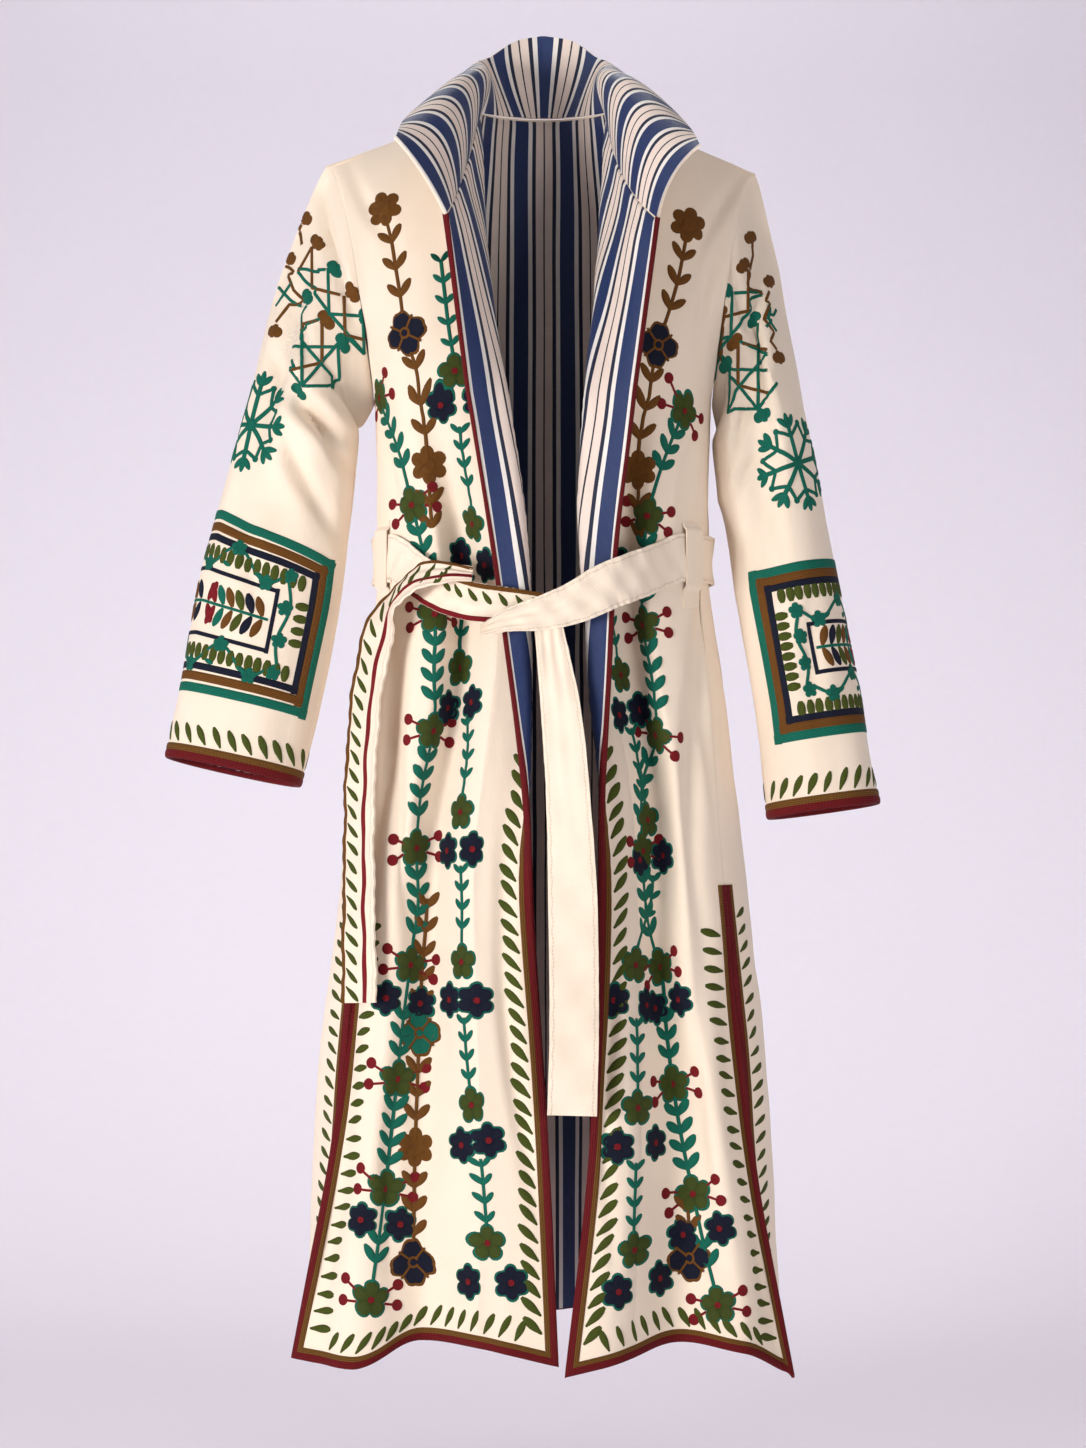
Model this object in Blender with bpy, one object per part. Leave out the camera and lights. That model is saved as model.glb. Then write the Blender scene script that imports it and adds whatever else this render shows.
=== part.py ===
"""A long belted coat with a stand collar, worn open and hollow, as on an unseen wearer.

Metres, +Z up, the front faces -Y. The origin is inside the neck, where the wearer holds the coat up.
Each cloth panel is a grid of points: columns run down the cloth from its top edge and rows run across it.
A wall is the grid's points and the same points moved in by the cloth's thickness, closed round the edges.
"""
import math
from collections import namedtuple

import bmesh
import bpy
import numpy as np

CLOTH = 0.0020
LINING = 0.0010
BRAID = 0.0010
BELT = 0.0028
GAP = 0.0003
LINING_GAP = 0.0005
BRAID_WIDTH = 0.014
BELT_WIDTH = 0.046
BELT_Z = -0.436
UNDERARM_Z = -0.270
HEM_Z = -1.176
SLIT_TOP_Z = -0.730
SQUARENESS = 2.4

CREAM = (0.86, 0.74, 0.60)
STRIPE_BLUE = (0.05, 0.08, 0.24)
BRAID_RED = (0.30, 0.02, 0.03)

# The torso at each height: half widths of front and back, depths before and behind the middle, and
# where the side seam lies, in degrees round from the middle of the front.
Level = namedtuple("Level", "z front_half back_half front back seam")
LEVELS = [
    Level(-0.270, 0.163, 0.163, 0.116, 0.106, 86),
    Level(-0.355, 0.161, 0.161, 0.116, 0.096, 78),
    Level(-0.436, 0.161, 0.161, 0.112, 0.088, 70),
    Level(-0.555, 0.177, 0.177, 0.119, 0.104, 63),
    Level(-0.730, 0.197, 0.197, 0.128, 0.122, 59),
    Level(-0.940, 0.224, 0.220, 0.138, 0.136, 58),
    Level(-1.190, 0.264, 0.231, 0.148, 0.152, 64),
]

# The front edges: distance out from the middle, the width of cloth turned back at the opening with the
# lining outwards, the radius it turns on and how far round it turns.
Edge = namedtuple("Edge", "z out turned radius turn")
EDGES = {
    "left": [
        Edge(-0.102, 0.0930, 0.066, 0.010, 2.70),
        Edge(-0.157, 0.0888, 0.066, 0.010, 2.70),
        Edge(-0.226, 0.0788, 0.063, 0.010, 2.70),
        Edge(-0.284, 0.0684, 0.058, 0.009, 2.70),
        Edge(-0.412, 0.0480, 0.044, 0.007, 3.05),
        Edge(-0.493, 0.0370, 0.038, 0.007, 3.05),
        Edge(-0.632, 0.0200, 0.024, 0.009, 2.85),
        Edge(-0.760, 0.0110, 0.008, 0.010, 2.85),
        Edge(-0.936, -0.0020, 0.000, 0.009, 2.85),
        Edge(-1.190, -0.0140, 0.000, 0.009, 2.85),
    ],
    "right": [
        Edge(-0.105, 0.1090, 0.078, 0.010, 2.70),
        Edge(-0.149, 0.0960, 0.074, 0.010, 2.70),
        Edge(-0.223, 0.0912, 0.070, 0.010, 2.70),
        Edge(-0.284, 0.0845, 0.066, 0.009, 2.70),
        Edge(-0.425, 0.0684, 0.046, 0.007, 3.05),
        Edge(-0.537, 0.0627, 0.034, 0.007, 3.05),
        Edge(-0.632, 0.0580, 0.022, 0.009, 2.85),
        Edge(-0.760, 0.0540, 0.008, 0.010, 2.85),
        Edge(-0.964, 0.0447, 0.000, 0.009, 2.85),
        Edge(-1.190, 0.0200, 0.000, 0.009, 2.85),
    ],
}

# A hanging fold of a front: how far it lies out from the turned edge, its width, how deep it goes in,
# and how far its bottom slips outwards, under the ridge beside it.
Fold = namedtuple("Fold", "z at width depth slip")
FOLDS = {
    "left": [
        [
            Fold(-0.270, 0.068, 0.060, 0.000, 0.000),
            Fold(-0.370, 0.052, 0.062, 0.022, 0.008),
            Fold(-0.436, 0.047, 0.064, 0.033, 0.014),
            Fold(-0.590, 0.060, 0.070, 0.034, 0.014),
            Fold(-0.700, 0.078, 0.078, 0.034, 0.012),
            Fold(-0.860, 0.100, 0.100, 0.034, 0.010),
            Fold(-1.000, 0.118, 0.130, 0.036, 0.010),
            Fold(-1.190, 0.120, 0.160, 0.042, 0.010),
        ],
        [
            Fold(-0.500, 0.130, 0.050, 0.000, 0.000),
            Fold(-0.620, 0.140, 0.055, 0.008, 0.000),
            Fold(-0.860, 0.200, 0.070, 0.006, 0.000),
            Fold(-1.190, 0.235, 0.060, 0.004, 0.000),
        ],
    ],
    "right": [
        [
            Fold(-0.270, 0.040, 0.060, 0.000, 0.000),
            Fold(-0.370, 0.032, 0.060, 0.020, 0.008),
            Fold(-0.436, 0.030, 0.060, 0.030, 0.013),
            Fold(-0.632, 0.036, 0.066, 0.034, 0.015),
            Fold(-0.803, 0.050, 0.074, 0.034, 0.013),
            Fold(-0.964, 0.080, 0.096, 0.034, 0.010),
            Fold(-1.190, 0.108, 0.150, 0.040, 0.008),
        ],
        [
            Fold(-0.500, 0.110, 0.050, 0.000, 0.000),
            Fold(-0.640, 0.125, 0.055, 0.007, 0.000),
            Fold(-0.860, 0.165, 0.070, 0.006, 0.000),
            Fold(-1.190, 0.205, 0.060, 0.004, 0.000),
        ],
    ],
}

# The back's hanging folds, as shares of its width from the left seam, with their depth at the hem.
Flute = namedtuple("Flute", "at width depth top_z")
BACK_FLUTES = [
    Flute(0.16, 0.12, 0.020, -0.52),
    Flute(0.34, 0.13, 0.028, -0.46),
    Flute(0.50, 0.11, 0.018, -0.50),
    Flute(0.66, 0.13, 0.030, -0.46),
    Flute(0.84, 0.12, 0.020, -0.54),
]

# How far each place of the hem hangs above (+) or below (-) the hem's own height.
Hem = namedtuple("Hem", "at rise")
HEM_RISE = {
    "left": [Hem(0.0, 0.000), Hem(0.25, 0.014), Hem(0.5, 0.016), Hem(0.75, -0.008), Hem(1.0, -0.004)],
    "right": [Hem(0.0, -0.010), Hem(0.25, 0.004), Hem(0.5, 0.014), Hem(0.75, 0.006), Hem(1.0, -0.022)],
    "back": [Hem(0.0, 0.004), Hem(0.3, 0.010), Hem(0.5, 0.006), Hem(0.7, 0.010), Hem(1.0, 0.002)],
}

# The sleeves' middle line and half sizes: out from the middle, along Y, and half width and half depth.
Ring = namedtuple("Ring", "z out y half_width half_depth")
SLEEVES = {
    "left": [
        Ring(-0.155, 0.187, 0.000, 0.050, 0.070),
        Ring(-0.215, 0.219, -0.004, 0.053, 0.062),
        Ring(-0.305, 0.237, -0.008, 0.058, 0.056),
        Ring(-0.390, 0.253, -0.013, 0.065, 0.050),
        Ring(-0.465, 0.266, -0.020, 0.069, 0.047),
        Ring(-0.560, 0.284, -0.030, 0.068, 0.044),
        Ring(-0.624, 0.298, -0.037, 0.066, 0.042),
    ],
    "right": [
        Ring(-0.158, 0.181, 0.000, 0.047, 0.070),
        Ring(-0.215, 0.197, -0.004, 0.047, 0.066),
        Ring(-0.305, 0.211, -0.008, 0.047, 0.064),
        Ring(-0.390, 0.224, -0.012, 0.050, 0.060),
        Ring(-0.465, 0.239, -0.018, 0.050, 0.058),
        Ring(-0.560, 0.256, -0.026, 0.051, 0.055),
        Ring(-0.662, 0.270, -0.034, 0.054, 0.050),
    ],
}

# Creases pressed into a sleeve: where round it, in degrees from the outside forwards, at the top and
# the bottom of the crease, its reach down the sleeve as shares of its length, its width and its depth.
Crease = namedtuple("Crease", "top bottom start end width depth")
CREASES = {
    "left": [Crease(40, 58, 0.02, 0.50, 34, 0.014), Crease(120, 60, 0.36, 0.56, 60, 0.010)],
    "right": [Crease(96, 112, 0.08, 0.62, 34, 0.016), Crease(178, 140, 0.40, 0.58, 60, 0.008)],
}

SIDE_NECK = (0.064, -0.012, 0.0150)
SHOULDER = {"left": (0.2105, -0.012, -0.0385), "right": (0.2065, -0.012, -0.0460)}
BACK_NECK = (0.0, 0.052, 0.0180)
FRONT_NECK = {"left": (0.0930, -0.1310, -0.102), "right": (0.1090, -0.1290, -0.105)}
TURN_NECK = {"left": (0.0775, -0.0760, -0.053), "right": (0.0780, -0.0740, -0.055)}
NECK_SHARE = 0.27

SIGN = {"left": -1.0, "right": 1.0}


def smooth(rows, place, name, key="z"):
    """The named column at a place between rows, on a curve through them that doesn't overshoot much."""
    order = sorted(rows, key=lambda row: getattr(row, key))
    at = [getattr(row, key) for row in order]
    value = [getattr(row, name) for row in order]
    if place <= at[0]:
        return value[0]
    if place >= at[-1]:
        return value[-1]
    i = max(k for k in range(len(at) - 1) if at[k] <= place)
    slopes = [(value[k + 1] - value[k]) / (at[k + 1] - at[k]) for k in range(len(at) - 1)]
    before = slopes[i] if i == 0 else mean_slope(slopes[i - 1], slopes[i])
    after = slopes[i] if i == len(slopes) - 1 else mean_slope(slopes[i], slopes[i + 1])
    span = at[i + 1] - at[i]
    t = (place - at[i]) / span
    return (
        (2 * t**3 - 3 * t**2 + 1) * value[i]
        + (t**3 - 2 * t**2 + t) * span * before
        + (3 * t**2 - 2 * t**3) * value[i + 1]
        + (t**3 - t**2) * span * after
    )


def mean_slope(a, b):
    """The slope at a row: none at a peak, and otherwise the harmonic mean of its neighbours'."""
    return 0.0 if a * b <= 0 else 2 * a * b / (a + b)


def step(t):
    """From 0 to 1, with no slope at either end."""
    t = min(1.0, max(0.0, t))
    return t * t * (3 - 2 * t)


def bump(t):
    """1 at t = 0, falling softly to 0 at t = -0.5 and t = 0.5."""
    return 0.5 * (1 + math.cos(2 * math.pi * t)) if abs(t) < 0.5 else 0.0


def unit(vector):
    return vector / np.linalg.norm(vector)


def lengths(points):
    """How far along a line each of its points is."""
    return np.concatenate([[0.0], np.cumsum(np.linalg.norm(np.diff(points, axis=0), axis=1))])


def along(points, shares):
    """Points at the given shares of a line's length."""
    points = np.asarray(points, float)
    run = lengths(points)
    places = np.asarray(shares) * run[-1]
    return np.stack([np.interp(places, run, points[:, k]) for k in range(points.shape[1])], 1)


def torso_arc(half, depth, first, last, count=140):
    """(out, y) from one angle to another round the torso, in degrees from the middle of the front."""
    found = []
    for degrees in np.linspace(first, last, count):
        s, c = math.sin(math.radians(degrees)), math.cos(math.radians(degrees))
        out = half * math.copysign(abs(s) ** (2 / SQUARENESS), s)
        found.append((out, -depth * math.copysign(abs(c) ** (2 / SQUARENESS), c)))
    return np.array(found)


def angle_at(out, half):
    """The angle, in degrees, at which the torso's front lies that far out."""
    return math.degrees(math.asin(math.copysign(min(1.0, abs(out / half)) ** (SQUARENESS / 2), out)))


def turn_back(length, radius, turn):
    """(out, y) steps of cloth that turns forwards and back outwards on a radius, then runs straight."""
    here, found = np.zeros(2), [np.zeros(2)]
    stride = 0.001
    for k in range(int(round(length / stride))):
        heading = min((k + 0.5) * stride / radius, turn)
        here = here + stride * np.array([-math.cos(heading), -math.sin(heading)])
        found.append(here)
    return np.array(found)


def front_section(side, z):
    """(out, y) from a front's edge to its side seam, at one height."""
    half = smooth(LEVELS, z, "front_half")
    depth = smooth(LEVELS, z, "front")
    edge = EDGES[side]
    turned = turn_back(smooth(edge, z, "turned"), smooth(edge, z, "radius"), smooth(edge, z, "turn"))
    start = smooth(edge, z, "out") - turned[-1][0]
    flat = torso_arc(half, depth, angle_at(start, half), smooth(LEVELS, z, "seam"))
    flat = along(flat, np.linspace(0, 1, 240))
    run = lengths(flat)
    tangent = np.gradient(flat, axis=0)
    tangent /= np.linalg.norm(tangent, axis=1)[:, None]
    inwards = np.stack([-tangent[:, 1], tangent[:, 0]], 1)
    folded = flat.copy()
    for fold in FOLDS[side]:
        at, width = smooth(fold, z, "at"), smooth(fold, z, "width")
        depth_in = smooth(fold, z, "depth") if z > fold[-1].z else fold[-1].depth
        slip = smooth(fold, z, "slip")
        reach = np.array([bump((r - at) / width) * step(r / 0.02) for r in run])
        reach *= np.array([step((run[-1] - r) / 0.02) for r in run])
        folded += reach[:, None] * (depth_in * inwards + slip * tangent)
    return np.concatenate([(turned + folded[0])[::-1][:-1], folded])


def back_section(z):
    """(x, y) from the left side seam round the back to the right one, at one height."""
    half, depth = smooth(LEVELS, z, "back_half"), smooth(LEVELS, z, "back")
    front, seam = smooth(LEVELS, z, "front"), smooth(LEVELS, z, "seam")
    side = torso_arc(half, front, seam, 90, 50)
    rear = torso_arc(half, depth, 90, 180, 120)
    right = np.concatenate([side[:-1], rear])
    left = right * (-1, 1)
    line = along(np.concatenate([left[:-1], right[::-1]]), np.linspace(0, 1, 400))
    share = np.linspace(0, 1, 400)
    tangent = np.gradient(line, axis=0)
    tangent /= np.linalg.norm(tangent, axis=1)[:, None]
    inwards = np.stack([tangent[:, 1], -tangent[:, 0]], 1)
    for flute in BACK_FLUTES:
        fall = step((flute.top_z - z) / (flute.top_z - HEM_Z))
        reach = np.array([bump((s - flute.at) / flute.width) for s in share])
        line = line + (flute.depth * fall * reach)[:, None] * inwards
    return line


class Body:
    """A panel below the underarm: a point for each share across it and each height."""

    def __init__(self, section, count=90):
        self.heights = np.linspace(UNDERARM_Z, HEM_Z - 0.03, count)
        self.lines = [along(section(z), np.linspace(0, 1, 301)) for z in self.heights]

    def point(self, share, z):
        k = min(max(np.interp(-z, -self.heights, np.arange(len(self.heights))), 0), len(self.heights) - 1.001)
        i, rest = int(k), k - int(k)
        column = share * 300
        j = min(int(column), 299)
        found = []
        for line in (self.lines[i], self.lines[i + 1]):
            found.append(line[j] + (column - j) * (line[j + 1] - line[j]))
        flat = found[0] + rest * (found[1] - found[0])
        return np.array([flat[0], flat[1], z])


def front_top(side, share):
    """The front's top edge: the neckline from the front edge up to the side neck, then the shoulder seam."""
    front, turn = np.array(FRONT_NECK[side]), np.array(TURN_NECK[side])
    neck, shoulder = np.array(SIDE_NECK), np.array(SHOULDER[side])
    if share < NECK_SHARE:
        t = (share / NECK_SHARE) ** 1.4
        return (1 - t) ** 2 * front + 2 * t * (1 - t) * (2 * turn - 0.5 * (front + neck)) + t**2 * neck
    return neck + (share - NECK_SHARE) / (1 - NECK_SHARE) * (shoulder - neck)


BACK_NECK_SHARES = (0.35, 0.65)


def back_top(share):
    """The back's top edge: left shoulder seam, back neckline, right shoulder seam."""
    low, high = BACK_NECK_SHARES
    if share <= low or share >= high:
        side = "left" if share <= low else "right"
        t = share / low if share <= low else (1 - share) / (1 - high)
        point = np.array(SHOULDER[side]) + t * (np.array(SIDE_NECK) - np.array(SHOULDER[side]))
        return point * (SIGN[side], 1, 1)
    t = (share - low) / (high - low) * 2 - 1
    neck, nape = np.array(SIDE_NECK), np.array(BACK_NECK)
    rise = (1 - t * t) ** 0.8
    return np.array([t * neck[0], neck[1] + (nape[1] - neck[1]) * rise, neck[2] + (nape[2] - neck[2]) * rise])


def yoke(top, below, t, armhole, neck, bulge):
    """A point between a panel's top edge and its underarm row. armhole and neck are 1 at those edges."""
    phi = 0.5 * math.pi * t
    x = top[0] + (below[0] - top[0]) * t ** (1 - 0.45 * armhole)
    reach = (1 - neck) * (0.7 * math.sin(phi) + 0.3 * t) + neck * (0.15 * math.sin(phi) + 0.85 * t)
    y = top[1] + (below[1] - top[1]) * reach + bulge * armhole * math.sin(math.pi * t)
    fall = (1 - armhole) * (1 - math.cos(phi)) + armhole * t
    fall = (1 - neck) * (0.25 * t + 0.75 * fall) + neck * t
    return np.array([x, y, top[2] + (below[2] - top[2]) * fall])


YOKE_ROWS = [0.0, 0.12, 0.27, 0.45, 0.64, 0.82]
LOWER_Z = [
    UNDERARM_Z,
    -0.335,
    BELT_Z + BELT_WIDTH / 2,
    BELT_Z - BELT_WIDTH / 2,
    -0.530,
    -0.600,
    -0.665,
    SLIT_TOP_Z,
    -0.805,
    -0.890,
    -0.980,
    -1.075,
    HEM_Z + BRAID_WIDTH,
    HEM_Z,
]
BELT_ROW = len(YOKE_ROWS) + 2
SLIT_ROW = len(YOKE_ROWS) + LOWER_Z.index(SLIT_TOP_Z)
ROWS = len(YOKE_ROWS) + len(LOWER_Z)


def drop(rise, z):
    """How much of the hem's rise or fall reaches a height."""
    return rise * step((SLIT_TOP_Z - z) / (SLIT_TOP_Z - HEM_Z - BRAID_WIDTH))


def front_grid(side, shares):
    body = Body(lambda z: front_section(side, z))
    grid = np.zeros((ROWS, len(shares), 3))
    for j, share in enumerate(shares):
        top, below = front_top(side, share), body.point(share, UNDERARM_Z)
        for i, t in enumerate(YOKE_ROWS):
            grid[i, j] = yoke(top, below, t, share**3, step((0.45 - share) / 0.20), -0.046)
        rise = smooth(HEM_RISE[side], share, "rise", "at")
        for i, z in enumerate(LOWER_Z):
            grid[len(YOKE_ROWS) + i, j] = body.point(share, z) + (0, 0, drop(rise, z))
    slit = [0.0012 + 0.004 * step((SLIT_TOP_Z - z) / 0.4) if z < SLIT_TOP_Z else 0.0 for z in LOWER_Z]
    grid[len(YOKE_ROWS):, -1, 1] -= slit
    return grid * (SIGN[side], 1, 1)


def back_grid(shares):
    body = Body(back_section)
    grid = np.zeros((ROWS, len(shares), 3))
    for j, share in enumerate(shares):
        top, below = back_top(share), body.point(share, UNDERARM_Z)
        armhole = abs(2 * share - 1) ** 5
        for i, t in enumerate(YOKE_ROWS):
            grid[i, j] = yoke(top, below, t, armhole, 0.0, 0.050)
        rise = smooth(HEM_RISE["back"], share, "rise", "at")
        for i, z in enumerate(LOWER_Z):
            grid[len(YOKE_ROWS) + i, j] = body.point(share, z) + (0, 0, drop(rise, z))
    return grid


def normals(grid, outside, wrap=False):
    """Unit normals of a grid of points, the mean of the cells round each, on the side that outside() takes."""
    right = np.roll(grid, -1, 1) if wrap else grid[:, 1:]
    left = grid if wrap else grid[:, :-1]
    cell = directions(np.cross(right[1:] - left[:-1], left[1:] - right[:-1]))
    found = np.zeros_like(grid)
    for rows in (slice(0, -1), slice(1, None)):
        if wrap:
            found[rows] += cell + np.roll(cell, 1, 1)
        else:
            found[rows, :-1] += cell
            found[rows, 1:] += cell
    found = directions(found)
    i, j = len(grid) // 2, grid.shape[1] // 2
    return found if outside(grid[i, j], found[i, j]) else -found


def material(name, colour, roughness):
    made = bpy.data.materials.get(name) or bpy.data.materials.new(name)
    made.use_nodes = True
    shader = made.node_tree.nodes["Principled BSDF"]
    shader.inputs["Base Color"].default_value = (*colour, 1.0)
    shader.inputs["Roughness"].default_value = roughness
    shader.inputs["Metallic"].default_value = 0.0
    return made


def wall(name, grid, normal, start, thickness, finish, cells=None, wrap=False):
    """A closed wall over the chosen cells of a grid: its outer face lies start out from the points."""
    rows, columns = grid.shape[:2]
    across = columns if wrap else columns - 1
    used = [
        (i, j)
        for i in range(rows - 1)
        for j in range(across)
        if cells is None or cells(i, j)
    ]
    mesh = bmesh.new()
    outer, inner = {}, {}
    edges = {}
    for i, j in used:
        k = (j + 1) % columns
        ring = [(i, j), (i, k), (i + 1, k), (i + 1, j)]
        for corner in ring:
            if corner not in outer:
                point, out = grid[corner], normal[corner]
                outer[corner] = mesh.verts.new(point + start * out)
                inner[corner] = mesh.verts.new(point + (start - thickness) * out)
        for a, b, c in ((0, 1, 2), (0, 2, 3)):
            mesh.faces.new([outer[ring[n]] for n in (a, b, c)])
            mesh.faces.new([inner[ring[n]] for n in (c, b, a)])
        for a, b in zip(ring, ring[1:] + ring[:1]):
            if (b, a) in edges:
                del edges[b, a]
            else:
                edges[a, b] = True
    for a, b in edges:
        mesh.faces.new([outer[b], outer[a], inner[a]])
        mesh.faces.new([outer[b], inner[a], inner[b]])
    bmesh.ops.recalc_face_normals(mesh, faces=mesh.faces)
    data = bpy.data.meshes.new(name)
    mesh.to_mesh(data)
    mesh.free()
    data.materials.append(finish)
    data.shade_smooth()
    data.set_sharp_from_angle(angle=math.radians(40))
    made = bpy.data.objects.new(name, data)
    COAT.objects.link(made)
    return made


def front_shares():
    """Columns: the edge's binding and braid, the turned strip, the rest of the front, and the slit's braid."""
    turned = np.linspace(0.048, NECK_SHARE, 10)
    return np.concatenate([[0.0, 0.020], turned, np.linspace(NECK_SHARE, 0.952, 15)[1:], [1.0]])


def back_shares():
    """Columns: close together at the slits' braids, and one at each side of the neck."""
    low, high = BACK_NECK_SHARES
    left = np.linspace(0.032, low, 8)
    return np.concatenate([[0.0], left, np.linspace(low, high, 9)[1:-1], 1 - left[::-1], [1.0]])


def sleeve_grid(side, hole, count=11):
    """Rings from the armhole, given as a loop of points from the shoulder forwards and round, to the cuff."""
    rings = SLEEVES[side]
    sign = SIGN[side]
    line = np.array([(r.out * sign, r.y, r.z) for r in rings])
    line[0] = hole.mean(0)
    run = lengths(line)
    total = run[-1]
    stops = list(np.linspace(0, 1, count)[:-1]) + [1 - BRAID_WIDTH / total, 1.0]
    grid = np.zeros((len(stops), len(hole), 3))
    for i, share in enumerate(stops):
        place = share * total
        centre = np.array([np.interp(place, run, line[:, k]) for k in range(3)])
        z = centre[2]
        ahead = np.array([np.interp(min(place + 0.03, total), run, line[:, k]) for k in range(3)])
        behind = np.array([np.interp(max(place - 0.03, 0), run, line[:, k]) for k in range(3)])
        axis = unit(ahead - behind)
        forward = unit(np.array([0, -1, 0]) - axis * (-axis[1]))
        lateral = np.cross(axis, forward) * sign
        lateral *= math.copysign(1.0, lateral[0] * sign)
        width, depth = smooth(rings, z, "half_width"), smooth(rings, z, "half_depth")
        loose = step(share / 0.34)
        for j in range(len(hole)):
            turn = 2 * math.pi * j / len(hole)
            c, s = math.cos(turn), math.sin(turn)
            n = 2 / 2.2
            spread = width * math.copysign(abs(c) ** n, c), depth * math.copysign(abs(s) ** n, s)
            pressed = 0.0
            for crease in CREASES[side]:
                along_it = (share - crease.start) / (crease.end - crease.start)
                if 0 < along_it < 1:
                    middle = crease.top + (crease.bottom - crease.top) * along_it
                    away = math.degrees(turn) - middle
                    pressed += crease.depth * math.sin(math.pi * along_it) * bump(away / (2 * crease.width))
            round_ring = centre + lateral * spread[0] + forward * spread[1]
            from_hole = hole[j] + centre - line[0]
            point = from_hole + loose * (round_ring - from_hole)
            grid[i, j] = point - pressed * unit(point - centre)
    return grid


def armhole_loop(front, back, back_column):
    """Points round the armhole from the shoulder, down the front's edge and up the back's, with midpoints."""
    last = len(YOKE_ROWS)
    loop = [front[i, -1] for i in range(last + 1)] + [back[i, back_column] for i in range(last - 1, 0, -1)]
    full = []
    for k, point in enumerate(loop):
        full += [point, 0.5 * (point + loop[(k + 1) % len(loop)])]
    return np.array(full)


# The collar between its two edges, against how far back the neck seam lies below it: out from the
# middle, y and height of its roll and of its free edge.
Turn = namedtuple("Turn", "base_y roll_out roll_y roll_z out y z")
COLLAR = {
    "left": [
        Turn(0.052, 0.000, 0.061, 0.060, 0.000, 0.060, 0.102),
        Turn(0.036, 0.040, 0.046, 0.056, 0.026, 0.056, 0.096),
        Turn(0.010, 0.056, 0.016, 0.055, 0.056, 0.034, 0.074),
        Turn(-0.012, 0.056, -0.012, 0.053, 0.084, -0.008, 0.044),
        Turn(-0.045, 0.070, -0.052, 0.036, 0.106, -0.056, 0.018),
        Turn(-0.085, 0.090, -0.098, -0.006, 0.128, -0.104, -0.010),
        Turn(-0.131, 0.115, -0.142, -0.064, 0.139, -0.146, -0.034),
    ],
    "right": [
        Turn(0.052, 0.000, 0.061, 0.060, 0.000, 0.060, 0.102),
        Turn(0.036, 0.040, 0.046, 0.056, 0.028, 0.056, 0.096),
        Turn(0.010, 0.056, 0.016, 0.055, 0.058, 0.034, 0.072),
        Turn(-0.012, 0.058, -0.012, 0.051, 0.088, -0.008, 0.042),
        Turn(-0.045, 0.072, -0.052, 0.034, 0.112, -0.056, 0.016),
        Turn(-0.085, 0.096, -0.098, -0.010, 0.134, -0.104, -0.016),
        Turn(-0.131, 0.124, -0.142, -0.070, 0.148, -0.146, -0.042),
    ],
}
COLLAR_ROWS = [0.0, 0.18, 0.36, 0.52, 0.70, 1.0]


def collar_grid(left, right, back):
    """Rows from the neck seam to the collar's free edge, over columns from the left front to the right."""
    base = np.concatenate([left[0, :NECK_COLUMNS], back[0, NECK_REACH], right[0, :NECK_COLUMNS][::-1]])
    grid = np.zeros((len(COLLAR_ROWS), len(base), 3))
    for j, point in enumerate(base):
        side = "left" if point[0] < 0 else "right"
        found = {name: smooth(COLLAR[side], point[1], name, "base_y") for name in Turn._fields[1:]}
        roll = np.array([found["roll_out"] * SIGN[side], found["roll_y"], found["roll_z"]])
        free = np.array([found["out"] * SIGN[side], found["y"], found["z"]])
        for i, h in enumerate(COLLAR_ROWS):
            pull = 2 * roll - 0.5 * (point + free)
            grid[i, j] = (1 - h) ** 2 * point + 2 * h * (1 - h) * pull + h**2 * free
    return grid


# The belt's free stretches: middle points with the width there and how far the face is turned about the
# belt's own line, in degrees from facing forwards.
Strand = namedtuple("Strand", "x y z width turn")
STRANDS = {
    "belt_right": [
        Strand(0.0950, -0.1210, -0.4370, 0.046, 2),
        Strand(0.0640, -0.1420, -0.4490, 0.045, 6),
        Strand(0.0250, -0.1510, -0.4680, 0.038, 0),
        Strand(-0.0050, -0.1540, -0.4770, 0.031, 0),
        Strand(-0.0350, -0.1520, -0.4830, 0.020, 0),
        Strand(-0.0580, -0.1440, -0.4920, 0.010, -10),
    ],
    "belt_left": [
        Strand(-0.0900, -0.1190, -0.4570, 0.038, 6),
        Strand(-0.0600, -0.1350, -0.4655, 0.036, 6),
        Strand(-0.0300, -0.1412, -0.4680, 0.032, 2),
        Strand(0.0000, -0.1440, -0.4700, 0.026, 0),
    ],
    "belt_end_left": [
        Strand(-0.0660, -0.1310, -0.4385, 0.012, -10),
        Strand(-0.0880, -0.1310, -0.4365, 0.020, -24),
        Strand(-0.1120, -0.1210, -0.4385, 0.030, -36),
        Strand(-0.1380, -0.1020, -0.4560, 0.040, -44),
        Strand(-0.1590, -0.0870, -0.5020, 0.046, -48),
        Strand(-0.1710, -0.0860, -0.5800, 0.046, -50),
        Strand(-0.1750, -0.0900, -0.6700, 0.046, -50),
        Strand(-0.1750, -0.0960, -0.7400, 0.046, -48),
        Strand(-0.1740, -0.1040, -0.8420, 0.046, -42),
    ],
    "belt_end_center": [
        Strand(0.0040, -0.1482, -0.4740, 0.024, 0),
        Strand(0.0060, -0.1484, -0.4930, 0.027, 0),
        Strand(0.0100, -0.1490, -0.5200, 0.031, 0),
        Strand(0.0170, -0.1500, -0.5700, 0.038, -10),
        Strand(0.0240, -0.1520, -0.6600, 0.042, -10),
        Strand(0.0280, -0.1540, -0.7600, 0.046, 0),
        Strand(0.0290, -0.1580, -0.8500, 0.046, 6),
        Strand(0.0270, -0.1620, -0.9420, 0.046, 0),
    ],
}
StrandKnot = namedtuple("StrandKnot", "at x y z width turn")

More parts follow.
